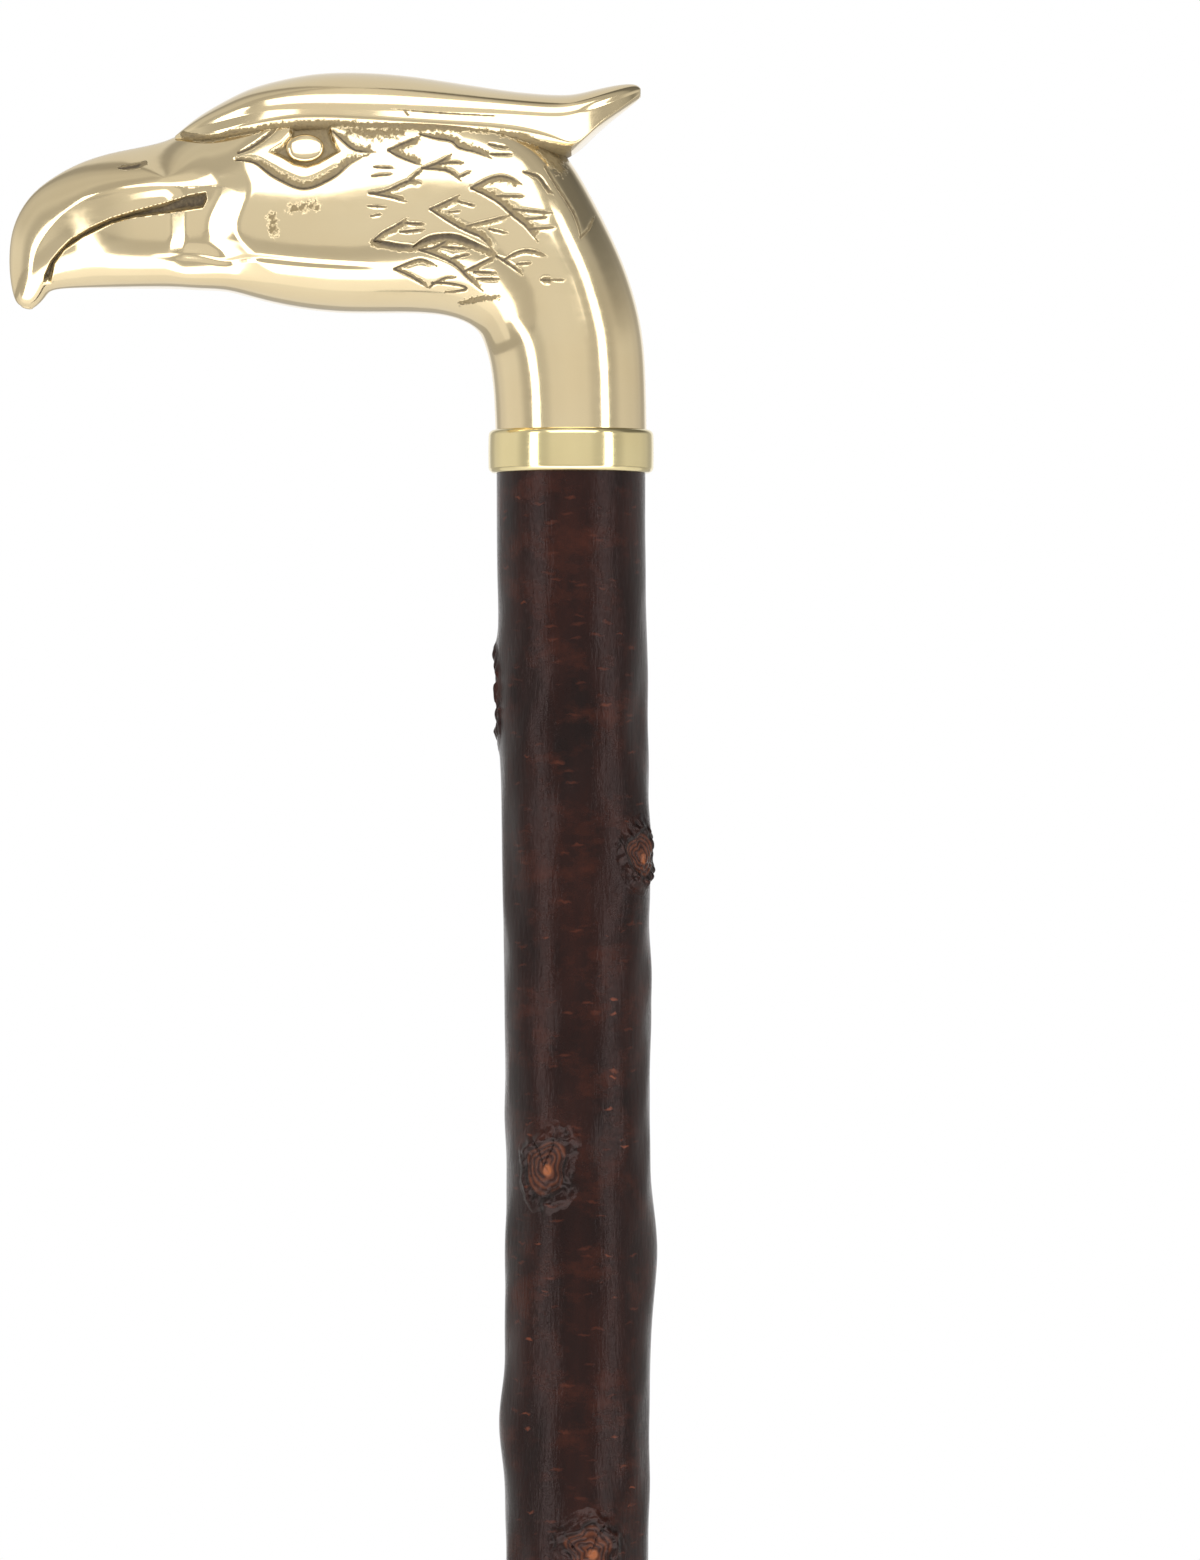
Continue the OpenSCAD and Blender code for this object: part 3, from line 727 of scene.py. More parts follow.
# Stains and painted shade: (width above, width below, strengths along the path, path)
STAINS_AND_SHADE = [
    # Patina and painted shade under the crest's rim, from the beak round to the tuft's notch
    (2, 6, [0.7, 0.95, 0.8, 0.6], [(184, 134), (196, 137), (209, 138), (232, 133), (258, 130)]),
    (8, 12, [0.40, 0.46, 0.50, 0.46], [(262, 123), (300, 121), (340, 121), (378, 124)]),
    (6, 9, [0.46, 0.50, 0.50], [(376, 124), (412, 126), (467, 127), (505, 130)]),
    (6, 16, [0.30, 0.38, 0.30], [(350, 130), (376, 132), (400, 131)]),
    (6, 12, [0.50, 0.56, 0.50], [(503, 130), (530, 136), (552, 145), (566, 156)]),
    (12, 10, [0.3, 0.5, 0.3], [(541, 150), (553, 160), (562, 172)]),
    (6, 6, [0.3, 0.5, 0.3], [(460, 303), (480, 299), (498, 297)]),
    (11, 11, [0.30, 0.34], [(272, 216), (274, 232)]),
    (11, 11, [0.30, 0.32], [(292, 209), (316, 205)]),
    (3, 5, [0.4, 0.9, 1.0, 0.5], [(121, 167), (130, 166), (138, 165), (145, 162)]),
    # Painted shade: dark brown on the walls of the cheek's two deep crescent cuts
    (2, 10, [0.6, 1.1, 1.0, 0.6], [(374, 240), (390, 243), (402, 245), (415, 246)]),
    (2, 10, [0.6, 1.0, 1.1, 1.0, 0.5],
     [(414, 246), (430, 238), (448, 235), (468, 240), (494, 252)]),
]


# %% Carve the skin
def carve(grid):
    """The near half of the skin with all its marks, and its painted patina and painted shade."""
    px, py = to_pixels(grid)
    push = valley(px, py) + sum(hollow(px, py, *form) for form in SOFT_FORMS)
    shaped = grid + skin_normals(grid) * push[..., None] * MM
    px, py = to_pixels(shaped)
    depth = np.zeros(px.shape)
    patina_and_shade = np.zeros(px.shape)
    for cut_depth, *cut in LID_CUTS + FEATHER_CUTS:
        share, ink_and_shade = chisel(px, py, *cut)
        depth = np.maximum(depth, cut_depth * share)
        patina_and_shade = np.maximum(patina_and_shade, np.clip(CUT_PATINA_AND_SHADE + cut_depth, 0, 1) * ink_and_shade)
    eye = recess(px, py, EYE_OUTLINE, EYE_WALL_PX)
    mouth = recess(px, py, MOUTH_OUTLINE, MOUTH_WALL_PX)
    depth = np.maximum(depth, np.maximum(EYE_DEPTH * eye, MOUTH_DEPTH * mouth))
    patina_and_shade = np.maximum(patina_and_shade, np.maximum(EYE_PATINA * eye, MOUTH_PATINA * mouth))
    for painted_band in STAINS_AND_SHADE:
        patina_and_shade = np.maximum(patina_and_shade, hollow(px, py, *painted_band))
    return shaped - skin_normals(shaped) * depth[..., None] * MM, patina_and_shade


carved_half, patina_and_shade_half = carve(head_half_skin)
print("deepest patina:", round(float(patina_and_shade_half.max()), 2))


# %% Sew the skin
SEW_GAP = 1e-7


def closed(values):
    """Rings whose first column comes again at their end."""
    return np.concatenate([values, values[:, :1]], axis=1).astype(np.float32).ravel()


def smooth_below(degrees):
    """Shades the active piece smooth, apart from edges that are sharper than the angle."""
    bpy.ops.object.shade_smooth_by_angle(angle=math.radians(degrees))


def sew(name, rings, painted=None):
    """A closed skin over rings: a grid is laid on them, its sides are sewn and its ends filled."""
    count, columns = rings.shape[:2]
    deselect()
    bpy.ops.mesh.primitive_grid_add(x_subdivisions=columns, y_subdivisions=count - 1)
    skin = bpy.context.object
    skin.name = name
    skin.data.vertices.foreach_set("co", closed(rings))
    for label, values in (painted or {}).items():
        layer = skin.data.attributes.new(label, "FLOAT", "POINT")
        layer.data.foreach_set("value", closed(values))
    bpy.ops.object.mode_set(mode="EDIT")
    bpy.ops.mesh.select_all(action="SELECT")
    bpy.ops.mesh.remove_doubles(threshold=SEW_GAP)
    bpy.ops.mesh.fill_holes(sides=0)
    bpy.ops.mesh.normals_make_consistent(inside=False)
    bpy.ops.object.mode_set(mode="OBJECT")
    bpy.ops.object.shade_smooth()
    return skin


def both_sides(half, sign=1):
    """Whole rings from their near halves. A sign of -1 mirrors points across the middle plane."""
    far = half[:, -2:0:-1].copy()
    if half.ndim == 3:
        far[..., 1] *= sign
    return np.concatenate([half, far], axis=1)


TIP_RINGS = 5
# The dome starts short of a quarter turn, and is this much lower than a ball
TIP_TURN, TIP_HEIGHT = 0.93, 0.4


def rounded_tip(rings, count):
    """Shrinking rings that close the first ring of a loft with a dome."""
    centre = rings[0].mean(axis=0)
    ahead = centre - rings[1].mean(axis=0)
    ahead /= np.linalg.norm(ahead)
    height = TIP_HEIGHT * np.linalg.norm(rings[0] - centre, axis=-1).min()
    angles = np.linspace(math.pi / 2, 0, count + 1)[:-1] * TIP_TURN
    return np.array([centre + (rings[0] - centre) * math.cos(a) + ahead * height * math.sin(a)
                     for a in angles])


def dress(piece, body, node, finish):
    """Gives a piece what it is made of, hangs it on the body it rides on and hides the solid it
    stands for.
    """
    piece.data.materials.append(finish)
    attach(piece, body)
    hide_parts(node)
    print(piece.name, "has", len(piece.data.polygons), "faces")


HEAD_SMOOTH = 55
# The skin is too fine for one piece, so it is parted at these sections
HEAD_PARTS = [("beak", 0, 8.6), ("face", 8.6, 13.6), ("cheek", 13.6, 18.5), ("neck", 18.5, 24)]

for part, start, end in HEAD_PARTS:
    first, last = np.searchsorted(head_places, (start, end))
    rings = both_sides(carved_half[first:last + 1], -1)
    patina_and_shade = both_sides(patina_and_shade_half[first:last + 1])
    if part == "beak":
        rings = np.concatenate([rounded_tip(rings, TIP_RINGS), rings])
        patina_and_shade = np.concatenate([np.zeros((TIP_RINGS, patina_and_shade.shape[1])), patina_and_shade])
    piece = sew(f"head_casting_{part}", rings, {"patina_and_shade": patina_and_shade})
    smooth_below(HEAD_SMOOTH)
    dress(piece, "stick", "head_casting", finish_cast_brass)

# %% [markdown]
# ## The crest
# The crest is a cap with an upright rim that lies on the crown and ends in a free tuft. It is
# lofted the same way, from a dome above its rim and a keel below it that sinks into the crown.

# %% Crest sections
TUFT_REACH = 11.6 * MM
# [x, top z, rim z, hidden keel z, half width, share of its height below the crease], x as a share
# of the reach
CREST_SHARES = [
    [-0.704, 0.824, 0.816, 0.806, 0.120, 0.30],
    [-0.662, 0.877, 0.822, 0.790, 0.370, 0.30],
    [-0.609, 0.926, 0.834, 0.790, 0.560, 0.28],
    [-0.560, 0.960, 0.852, 0.790, 0.690, 0.22],
    [-0.500, 0.984, 0.868, 0.790, 0.770, 0.14],
    [-0.427, 0.999, 0.872, 0.790, 0.805, 0.09],
    [-0.321, 0.995, 0.863, 0.782, 0.805, 0.13],
    [-0.214, 0.973, 0.853, 0.773, 0.780, 0.19],
    [-0.107, 0.948, 0.842, 0.756, 0.710, 0.27],
    [-0.032, 0.938, 0.814, 0.752, 0.625, 0.42],
]
# The free tuft, x as a share of its reach behind the shaft's axis
TUFT_SHARES = [
    [0.080, 0.941, 0.796, 0.780, 0.570, 0.55],
    [0.400, 0.955, 0.848, 0.836, 0.460, 0.46],
    [0.720, 0.967, 0.898, 0.886, 0.300, 0.36],
    [0.920, 0.967, 0.930, 0.917, 0.150, 0.30],
    [1.000, 0.957, 0.945, 0.932, 0.050, 0.30],
]
CREST_RINGS = 300
# Points on the dome, the shoulder, the flank, the flare and the keel
CREST_POINTS = (26, 14, 6, 16, 12)
# Shares of the height above the crease that are flank and shoulder
FLANK_SHARE, SHOULDER_SHARE = 0.12, 0.30
# The flare below the crease slopes more where it is taller: the slope gained by its share, and its
# limit
FLARE_GAIN, FLARE_START, FLARE_LIMIT = 1.6, 0.08, 0.30
SHOULDER_TURN = math.radians(30)
# Limits that keep the curve of a low dome sound
DOME_LEAST, DOME_MOST = 0.1, 0.9


def crest_half_sections(rows):
    """Near halves of the crest's sections: dome, tight shoulder, upright flank and flared rim."""
    x, top, rim, keel, half, crease = np.hsplit(rows, 6)
    run = [np.linspace(0, 1, count)[None, :] for count in CREST_POINTS]
    crease_z = rim + crease * (top - rim)
    flank_z = crease_z + FLANK_SHARE * (top - crease_z)
    shoulder = SHOULDER_SHARE * (top - crease_z)
    bend = shoulder / math.sin(SHOULDER_TURN)
    dome_half = half - bend * (1 - math.cos(SHOULDER_TURN))
    dome_z = flank_z + shoulder
    slope = math.tan(SHOULDER_TURN)
    spare = np.maximum(dome_half / (top - dome_z) - slope, DOME_LEAST)
    start = np.clip(slope / spare, 0, DOME_MOST)
    turn = math.pi / 2 + (np.arcsin(start) - math.pi / 2) * run[0]
    dome = (dome_half / np.sqrt(1 - start**2) * np.cos(turn),
            dome_z + (top - dome_z) / (1 - start) * (np.sin(turn) - start))
    turn = SHOULDER_TURN * (1 - run[1])
    bent = (half - bend * (1 - np.cos(turn)), flank_z + bend * np.sin(turn))
    flank = (half + 0 * run[2], flank_z + (crease_z - flank_z) * run[2])
    flare_slope = np.clip(FLARE_GAIN * (crease - FLARE_START), 0, FLARE_LIMIT)
    flare = (half + flare_slope * (crease_z - rim) * run[3], crease_z + (rim - crease_z) * run[3])
    turn = math.pi / 2 * run[4]
    below = (flare[0][:, -1:] * np.cos(turn), rim + (keel - rim) * np.sin(turn))
    parts = [dome, bent, flank, flare, below]
    out, up = (np.concatenate([part[axis][:, min(i, 1):] for i, part in enumerate(parts)], axis=1)
               for axis in range(2))
    return np.stack([x + 0 * out, -out, up + neck_foot], axis=-1)


# %% Crest
# Stains and painted shade on the crest, in the same order as those on the head. The last four are
# patina and painted shade along the rim.
CREST_STAINS_AND_SHADE = [
    (1.6, 1.6, [0.3, 0.7, 0.3], [(392, 109), (440, 113), (496, 116)]),
    (2, 2, [0.5, 0.5], [(405, 111), (408, 115)]),
    (5, 8, [0.5, 0.8, 0.7, 0.5], [(184, 134), (209, 138), (232, 133), (256, 130)]),
    (3, 6, [0.40, 0.46, 0.46, 0.42], [(256, 129), (276, 123), (330, 121), (380, 123)]),
    (3, 6, [0.44, 0.50, 0.50, 0.44], [(378, 124), (412, 126), (467, 128), (505, 131)]),
    (3, 8, [0.46, 0.50, 0.3], [(503, 132), (530, 138), (556, 147)]),
]
# The keel is painted with patina and painted shade under the rim, but not below the free tuft
KEEL_PATINA_AND_SHADE = 0.5
KEEL_CLEAN_COLUMNS = 3
TUFT_START_PX = 572
CREST_SMOOTH = 60

crest_scale = np.array([head_reach, head_rise, head_rise, head_rise, HEAD_HALF, 1])
tuft_scale = np.array([TUFT_REACH, head_rise, head_rise, head_rise, HEAD_HALF, 1])
crest_table = np.concatenate([np.array(CREST_SHARES) * crest_scale,
                              np.array(TUFT_SHARES) * tuft_scale])
fine_places = np.linspace(0, len(crest_table) - 1, FINE_RINGS)
steps = np.abs(np.diff(spline(crest_table, fine_places)[:, 0]))
places = np.interp(spread(steps, 1, CREST_RINGS), np.arange(FINE_RINGS), fine_places)
crest_half = crest_half_sections(spline(crest_table, places))
px, py = to_pixels(crest_half)
crest_patina_and_shade = np.zeros(px.shape)
for painted_band in CREST_STAINS_AND_SHADE:
    crest_patina_and_shade = np.maximum(crest_patina_and_shade, hollow(px, py, *painted_band))
keel = slice(KEEL_CLEAN_COLUMNS - CREST_POINTS[-1], None)
crest_patina_and_shade[:, keel] = np.where(px[:, keel] < TUFT_START_PX, KEEL_PATINA_AND_SHADE, 0)
crest = sew("head_casting_crest", both_sides(crest_half, -1), {"patina_and_shade": both_sides(crest_patina_and_shade)})
smooth_below(CREST_SMOOTH)
dress(crest, "stick", "head_casting", finish_cast_brass)

# %% [markdown]
# ## The eyes
# The eyeballs are plain bosses that were polished bright inside their almond hollows. A sphere
# squashed along the cheek's normal gives each one, and its far side is buried in the skin.

# %% Eyes
EYE_PX = (305, 147)
EYE_SEMI_PX = (19, 14.5)
EYE_PROUD = 0.25 * MM
EYE_BULGE = 1.2 * MM
EYE_FACING = (-2, 14)
# Below 1, the boss has a flatter face and steeper sides than a ball
EYE_POWER = 0.55
EYE_SEGMENTS, EYE_RINGS = 64, 32

px, py = to_pixels(head_half_skin)
nearest = np.unravel_index(np.argmin(np.hypot(px - EYE_PX[0], py - EYE_PX[1])), px.shape)
eye_normal = np.array(towards(*EYE_FACING))
eye_centre = head_half_skin[nearest] + eye_normal * (EYE_PROUD - EYE_BULGE)
for side, name in ((1, "eye_near"), (-1, "eye_far")):
    mirror = Vector((1, side, 1))
    deselect()
    bpy.ops.mesh.primitive_uv_sphere_add(segments=EYE_SEGMENTS, ring_count=EYE_RINGS, radius=1)
    eye = bpy.context.object
    eye.name = f"head_casting_{name}"
    for vertex in eye.data.vertices:
        vertex.co.z = math.copysign(abs(vertex.co.z) ** EYE_POWER, vertex.co.z)
    eye.scale = (EYE_SEMI_PX[0] / PX_PER_M, EYE_SEMI_PX[1] / PX_PER_M, EYE_BULGE)
    eye.rotation_euler = (Vector(eye_normal) * mirror).to_track_quat("Z", "Y").to_euler()
    eye.location = Vector(eye_centre) * mirror
    bpy.ops.object.transform_apply(location=True, rotation=True, scale=True)
    bpy.ops.object.shade_smooth()
    dress(eye, "stick", "head_casting", finish_cast_brass)
print("eye at", [round(float(v) / MM, 1) for v in eye_centre])

# %% [markdown]
# ## Turned brass
# The collar and the tip band are turned on a lathe, so a closed outline is drawn on one side of the
# axis and spun round it. The lathe leaves faint rings, which stretched noise gives to the finish.


# %% Turned brass finish and lathe
def turned_brass():
    """Lathe-turned brass: a greener alloy with fine rings and polish."""
    material, tree, shader, place = new_material("turned_brass")
    cloud = noise(tree, place, 90, 3)
    rings = noise(tree, stretched(tree, place, (60, 60, 5200)), 1, 3, 0.6)
    fill(tree, shader, {
        "Base Color": ramp(tree, cloud, [(0.35, (0.89, 0.765, 0.43)), (0.7, (0.86, 0.725, 0.395))]),
        "Metallic": 1,
        "Roughness": ramp(tree, rings, [(0.3, 0.09), (0.75, 0.17)]),
        "Normal": bump(tree, rings, 0.05, 0.0001)})
    return material


SPIN_STEPS = 144
SPIN_GAP = 1e-6
TURNED_SMOOTH = 40


def arc(centre, radius, start, end, steps=8):
    """Points (radius, height) of an arc between two angles in degrees."""
    angles = np.radians(np.linspace(start, end, steps))
    return [(centre[0] + radius * math.cos(a), centre[1] + radius * math.sin(a)) for a in angles]


def turned(name, outline):
    """A closed outline of (radius, height) in millimetres, spun round the shaft's axis."""
    deselect()
    bpy.ops.mesh.primitive_circle_add(vertices=len(outline))
    piece = bpy.context.object
    piece.name = name
    for vertex, (radius, height) in zip(piece.data.vertices, outline):
        vertex.co = (radius * MM, 0, height * MM)
    bpy.ops.object.mode_set(mode="EDIT")
    bpy.ops.mesh.select_all(action="SELECT")
    bpy.ops.mesh.spin(steps=SPIN_STEPS, angle=2 * math.pi, center=(0, 0, 0), axis=(0, 0, 1))
    bpy.ops.mesh.select_all(action="SELECT")
    bpy.ops.mesh.remove_doubles(threshold=SPIN_GAP)
    bpy.ops.mesh.delete_loose()
    bpy.ops.mesh.select_all(action="SELECT")
    bpy.ops.mesh.normals_make_consistent(inside=False)
    bpy.ops.object.mode_set(mode="OBJECT")
    smooth_below(TURNED_SMOOTH)
    return piece


finish_turned_brass = turned_brass()

# %% Collar
COLLAR_BORE_R = 9.55
COLLAR_BARREL = 0.05
COLLAR_EDGE = (0.95, 1.0)
BARREL_POINTS, EDGE_POINTS = 25, 12
collar_low, collar_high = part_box("collar_ring")
collar_r = collar_high.x / MM
foot, top = collar_low.z / MM, collar_high.z / MM
edge_r = collar_r - COLLAR_BARREL - COLLAR_EDGE[0]
middle, rise = (foot + top) / 2, (top - foot) / 2 - COLLAR_EDGE[1]
barrel = [(collar_r - COLLAR_BARREL * t * t, middle + t * rise)
          for t in np.linspace(-1, 1, BARREL_POINTS)]
edge = [(edge_r + COLLAR_EDGE[0] * math.cos(a), rise + COLLAR_EDGE[1] * math.sin(a))
        for a in np.linspace(0, math.pi / 2, EDGE_POINTS)[1:]]
collar_outline = ([(COLLAR_BORE_R, foot)] + [(r, middle - z) for r, z in edge[::-1]] + barrel
                  + [(r, middle + z) for r, z in edge] + [(COLLAR_BORE_R, top)])
collar = turned("collar", collar_outline)
dress(collar, "stick", "collar_ring", finish_turned_brass)

# %% Tip band
BAND_WALL = 0.9
BAND_EDGE = 0.25
BAND_EDGE_POINTS = 5
band_low, band_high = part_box("tip_band")
band_r = band_high.x / MM
foot, top = band_low.z / MM, band_high.z / MM
band_outline = ([(band_r - BAND_WALL, foot)]
                + arc((band_r - BAND_EDGE, foot + BAND_EDGE), BAND_EDGE, -90, 0,
                      BAND_EDGE_POINTS)
                + arc((band_r - BAND_EDGE, top - BAND_EDGE), BAND_EDGE, 0, 90,
                      BAND_EDGE_POINTS)
                + [(band_r - BAND_WALL, top)])
band = turned("tip_band_tube", band_outline)
dress(band, "stick", "tip_band", finish_turned_brass)

# %% [markdown]
# ## The bark
# Blackthorn keeps its bark: dark, smooth and glossy under varnish, with red pores, faint waves and
# a scar at every twig that was cut off. Sculpting could give its waves, but a formula can be read
# at any point, so one gives the rod's taper, crook, knots and waves. A loft follows it here, and
# the scars follow it later.

# %% Shaft shape
SHAFT_COLUMNS = 160
SHAFT_RINGS = 590
SHAFT_TOP_R = 12.4
SHAFT_TIP_R = 10.2
SHAFT_CROOK = 1.2
CROOK_WAVES = (1.5, 2.5)
KNOT_H, KNOT_L, KNOT_W = 1.3, 17, 10
KNOT_PITCH = 36
KNOT_TURN = 144
# Knots given one by one: (share of the length below the collar, azimuth, half width and length of
# the scar)
KNOTS_PLACED = [(0.045, 172, 3.2, 7.0), (0.079, -33, 3.3, 4.4), (0.143, -115, 3.9, 5.0),
                (0.161, 8, 0, 0), (0.196, 186, 0, 0), (0.222, -80, 4.3, 4.4)]
KNOT_SCAR = (3.2, 4.2)
RIPPLE_SEED = 11
RIPPLE_WAVES = 60
RIPPLE_H = 0.18
# Fewest and most waves round the rod, and their shortest and longest lengths along it
RIPPLE_AROUND, RIPPLE_LENGTHS = (1, 11), (10, 70)
RIPPLE_FALL = 0.15
# Crook and knots fade out over this length at the rod's ends
FADE_LENGTH = 4 * SHAFT_TIP_R
# The bark is sunk below a scar's own skin: from this reach, over this slope, both in half widths of
# the scar, and by this depth in mm
SINK_REACH, SINK_SLOPE, SINK_DEPTH = 1.42, 0.4, 1.6
SPIGOT_R = 9.5
TIP_SPIGOT_R = 8.55
VIEWED_LENGTH = 190

shoulder = band_high.z / MM
shaft_length = collar_low.z / MM - shoulder
last_share, last_azimuth = KNOTS_PLACED[-1][:2]
repeats = math.floor(shaft_length * (1 - last_share) / KNOT_PITCH) - 1
knots = [(shaft_length * (1 - share), azimuth, *scar) for share, azimuth, *scar in KNOTS_PLACED]
last_height = shaft_length * (1 - last_share)
knots += [(last_height - i * KNOT_PITCH, last_azimuth + i * KNOT_TURN, *KNOT_SCAR)
          for i in range(1, repeats + 1)]
print(len(knots), "knots on", round(shaft_length), "mm of bark")


def fade(height):
    """Rises from 0 at the shaft's ends to 1 past the length over which crook and knots fade out."""
    t = np.clip(np.minimum(height, shaft_length - height) / FADE_LENGTH, 0, 1)
    return t * t * (3 - 2 * t)


def ripples(azimuth, height):
    """Soft uneven waves over the bark that close up all the way round."""
    dice = np.random.default_rng(RIPPLE_SEED)
    total = np.zeros(np.broadcast(azimuth, height).shape)
    for _ in range(RIPPLE_WAVES):
        around = dice.integers(*RIPPLE_AROUND)
        along = 2 * math.pi / dice.uniform(*RIPPLE_LENGTHS) * dice.choice([-1, 1])
        phase = dice.uniform(0, 2 * math.pi)
        total += np.cos(around * azimuth + along * height + phase) / (1 + RIPPLE_FALL * around)
    return total / math.sqrt(RIPPLE_WAVES / 2)


def plain_radius(height):
    """Radius of the rod without its waves and knots."""
    return SHAFT_TIP_R + (SHAFT_TOP_R - SHAFT_TIP_R) * height / shaft_length


def from_knot(azimuth, height, knot):
    """Distances across and along the bark from the middle of a knot."""
    turn = (azimuth - math.radians(knot[1]) + math.pi) % (2 * math.pi) - math.pi
    return plain_radius(height) * turn, height - knot[0] + 0 * turn


def bark_surface(azimuth, height, relief=0):
    """Points of the bark in mm: a tapered rod with knots, waves, a crook and a relief."""
    lift = 0
    for knot in knots:
        across, along = from_knot(azimuth, height, knot)
        swelling = np.exp(-(2 * along / KNOT_L) ** 2 - (2 * across / KNOT_W) ** 2)
        lift = np.maximum(lift, KNOT_H * swelling)
    raised = lift + relief + RIPPLE_H * ripples(azimuth, height)
    out = plain_radius(height) + raised * fade(height)
    wander = SHAFT_CROOK * fade(height)
    turns = 2 * math.pi * (1 - height / shaft_length)
    x = wander * np.sin(CROOK_WAVES[0] * turns) + out * np.cos(azimuth)
    y = wander * np.sin(CROOK_WAVES[1] * turns) + out * np.sin(azimuth)
    return np.stack([x, y, shoulder + height + 0 * x], axis=-1)


# %% Shaft rings
FINE_HEIGHTS = 8000
# How closely rings lie far from the knots and how much closer at them, and a knot's reach in mm
RING_SHARE, KNOT_RING_SHARE, KNOT_REACH = 0.2, 0.45, 6
fine = np.linspace(0, shaft_length, FINE_HEIGHTS)
near_knot = sum(np.exp(-((fine - knot[0]) / KNOT_REACH) ** 2) for knot in knots)
ring_density = np.where(fine > shaft_length - VIEWED_LENGTH, 1,
                        RING_SHARE + KNOT_RING_SHARE * np.clip(near_knot, 0, 1))
ring_places = spread(np.diff(fine), ring_density[1:], SHAFT_RINGS)
heights = np.interp(ring_places, np.arange(FINE_HEIGHTS), fine)[:, None]
azimuths = math.pi / 2 + np.linspace(0, 2 * math.pi, SHAFT_COLUMNS + 1)[None, :-1]
sink = np.zeros((SHAFT_RINGS, SHAFT_COLUMNS))
for knot in knots:
    if knot[2]:
        across, along = from_knot(azimuths, heights, knot)
        away = np.hypot(across / knot[2], along / knot[3])
        sink = np.maximum(sink, SINK_DEPTH * falls(away, SINK_REACH, SINK_SLOPE))
bark_rings = bark_surface(azimuths, heights, -sink)


def plain_ring(radius, height):
    """A round ring of the turned spigots at the shaft's two ends."""
    x, y = radius * np.cos(azimuths[0]), radius * np.sin(azimuths[0])
    return np.stack([x, y, height + 0 * x], axis=-1)


tip_end = band_low.z / MM
below = np.array([plain_ring(TIP_SPIGOT_R, tip_end), plain_ring(TIP_SPIGOT_R, shoulder)])
above = np.array([plain_ring(SPIGOT_R, corner.z / MM) for corner in (collar_low, collar_high)])
shaft_rings = np.concatenate([below, bark_rings, above]) * MM
print("shaft grid:", shaft_rings.shape[:2])


# %% Bark finish
def warped(tree, place, scale, amount):
    """Coordinates shaken by noise, so that a regular pattern turns ragged."""
    shake = add_node(tree, "TexNoise", {"Vector": place, "Scale": scale}).outputs["Color"]
    centred = add_node(tree, "VectorMath", {0: shake, 1: (0.5,) * 3}, operation="SUBTRACT")
    inputs = {0: centred.outputs[0], 1: (amount,) * 3, 2: place}
    return add_node(tree, "VectorMath", inputs, operation="MULTIPLY_ADD").outputs[0]


def pores(tree, place, scale, inner, outer, few, many):
    """Ragged pores: spots of a cell pattern, strong in some cells and missing in others."""
    inputs = {"Vector": stretched(tree, place, scale), "Scale": 1}
    cells = add_node(tree, "TexVoronoi", inputs).outputs
    spots = ramp(tree, cells["Distance"], [(inner, 1.0), (outer, 0.0)])
    return calculate(tree, "MULTIPLY", spots, smooth_step(tree, cells["Color"], few, many))


def bark():
    """Dark varnished bark: maroon clouds, red smears and pores, ridges, and the scars' wood."""
    material, tree, shader, place = new_material("bark")
    cloud = noise(tree, stretched(tree, place, (130, 130, 45)), 1, 5, 0.62)
    colour = ramp(tree, cloud, [(0.33, (0.0030, 0.0014, 0.0013)), (0.50, (0.0085, 0.0022, 0.0016)),
                                (0.68, (0.0175, 0.0042, 0.0025))])
    smear = noise(tree, stretched(tree, place, (95, 95, 150)), 1, 5, 0.68)
    smear = ramp(tree, smear, [(0.50, 0.0), (0.76, 0.8)])
    ragged = warped(tree, place, 700, 0.0014)
    dashes = pores(tree, ragged, (190, 190, 800), 0.08, 0.26, 0.35, 0.8)
    dots = pores(tree, ragged, (125, 125, 430), 0.04, 0.12, 0.55, 0.8)
    rings = ramp(tree, attribute(tree, "grain"),
                 [(0.2, (0.022, 0.0075, 0.005)), (0.85, (0.085, 0.026, 0.012))])
    for factor, layer in ((smear, (0.045, 0.0100, 0.0046)),
                          (calculate(tree, "MULTIPLY", dashes, 0.7), (0.062, 0.0155, 0.008)),
                          (dots, (0.13, 0.034, 0.016)),
                          (attribute(tree, "wood"), rings),
                          (attribute(tree, "heart"), (0.30, 0.095, 0.035)),
                          (attribute(tree, "dark"), (0.005, 0.0036, 0.0034))):
        colour = mix(tree, factor, colour, layer)
    gloss = noise(tree, stretched(tree, place, (300, 300, 160)), 1, 4, 0.6)
    ridges = noise(tree, stretched(tree, place, (1700, 1700, 330)), 1, 4, 0.65)
    skin = noise(tree, place, 2400, 3, 0.6)
    fill(tree, shader, {
        "Base Color": colour,
        "Roughness": ramp(tree, gloss, [(0.3, 0.12), (0.7, 0.23)]),
        "Specular IOR Level": 0.29,
        "Specular Tint": (1, 0.80, 0.78, 1),
        "Normal": bump(tree, skin, 0.16, 0.0002, bump(tree, ridges, 0.35, 0.0003))})
    return material


BARK_SMOOTH = 50
finish_bark = bark()
shaft = sew("shaft_bark", shaft_rings)
smooth_below(BARK_SMOOTH)
dress(shaft, "stick", "shaft", finish_bark)

# %% [markdown]
# ## Scars of the cut twigs
# Where a twig was cut off, the bark has swollen into a ragged collar round a sunken disc of wood
# with growth rings, cracks and an orange heart. Each scar needs a finer mesh than the rod, so it is
# a skin of its own: rings of points from its buried border to its heart, on the same bark surface,
# with its own relief.

# %% Scar skins
# Lengths across a scar are shares of its half width and half length. Heights are in mm.
SCAR_REACH = 1.95
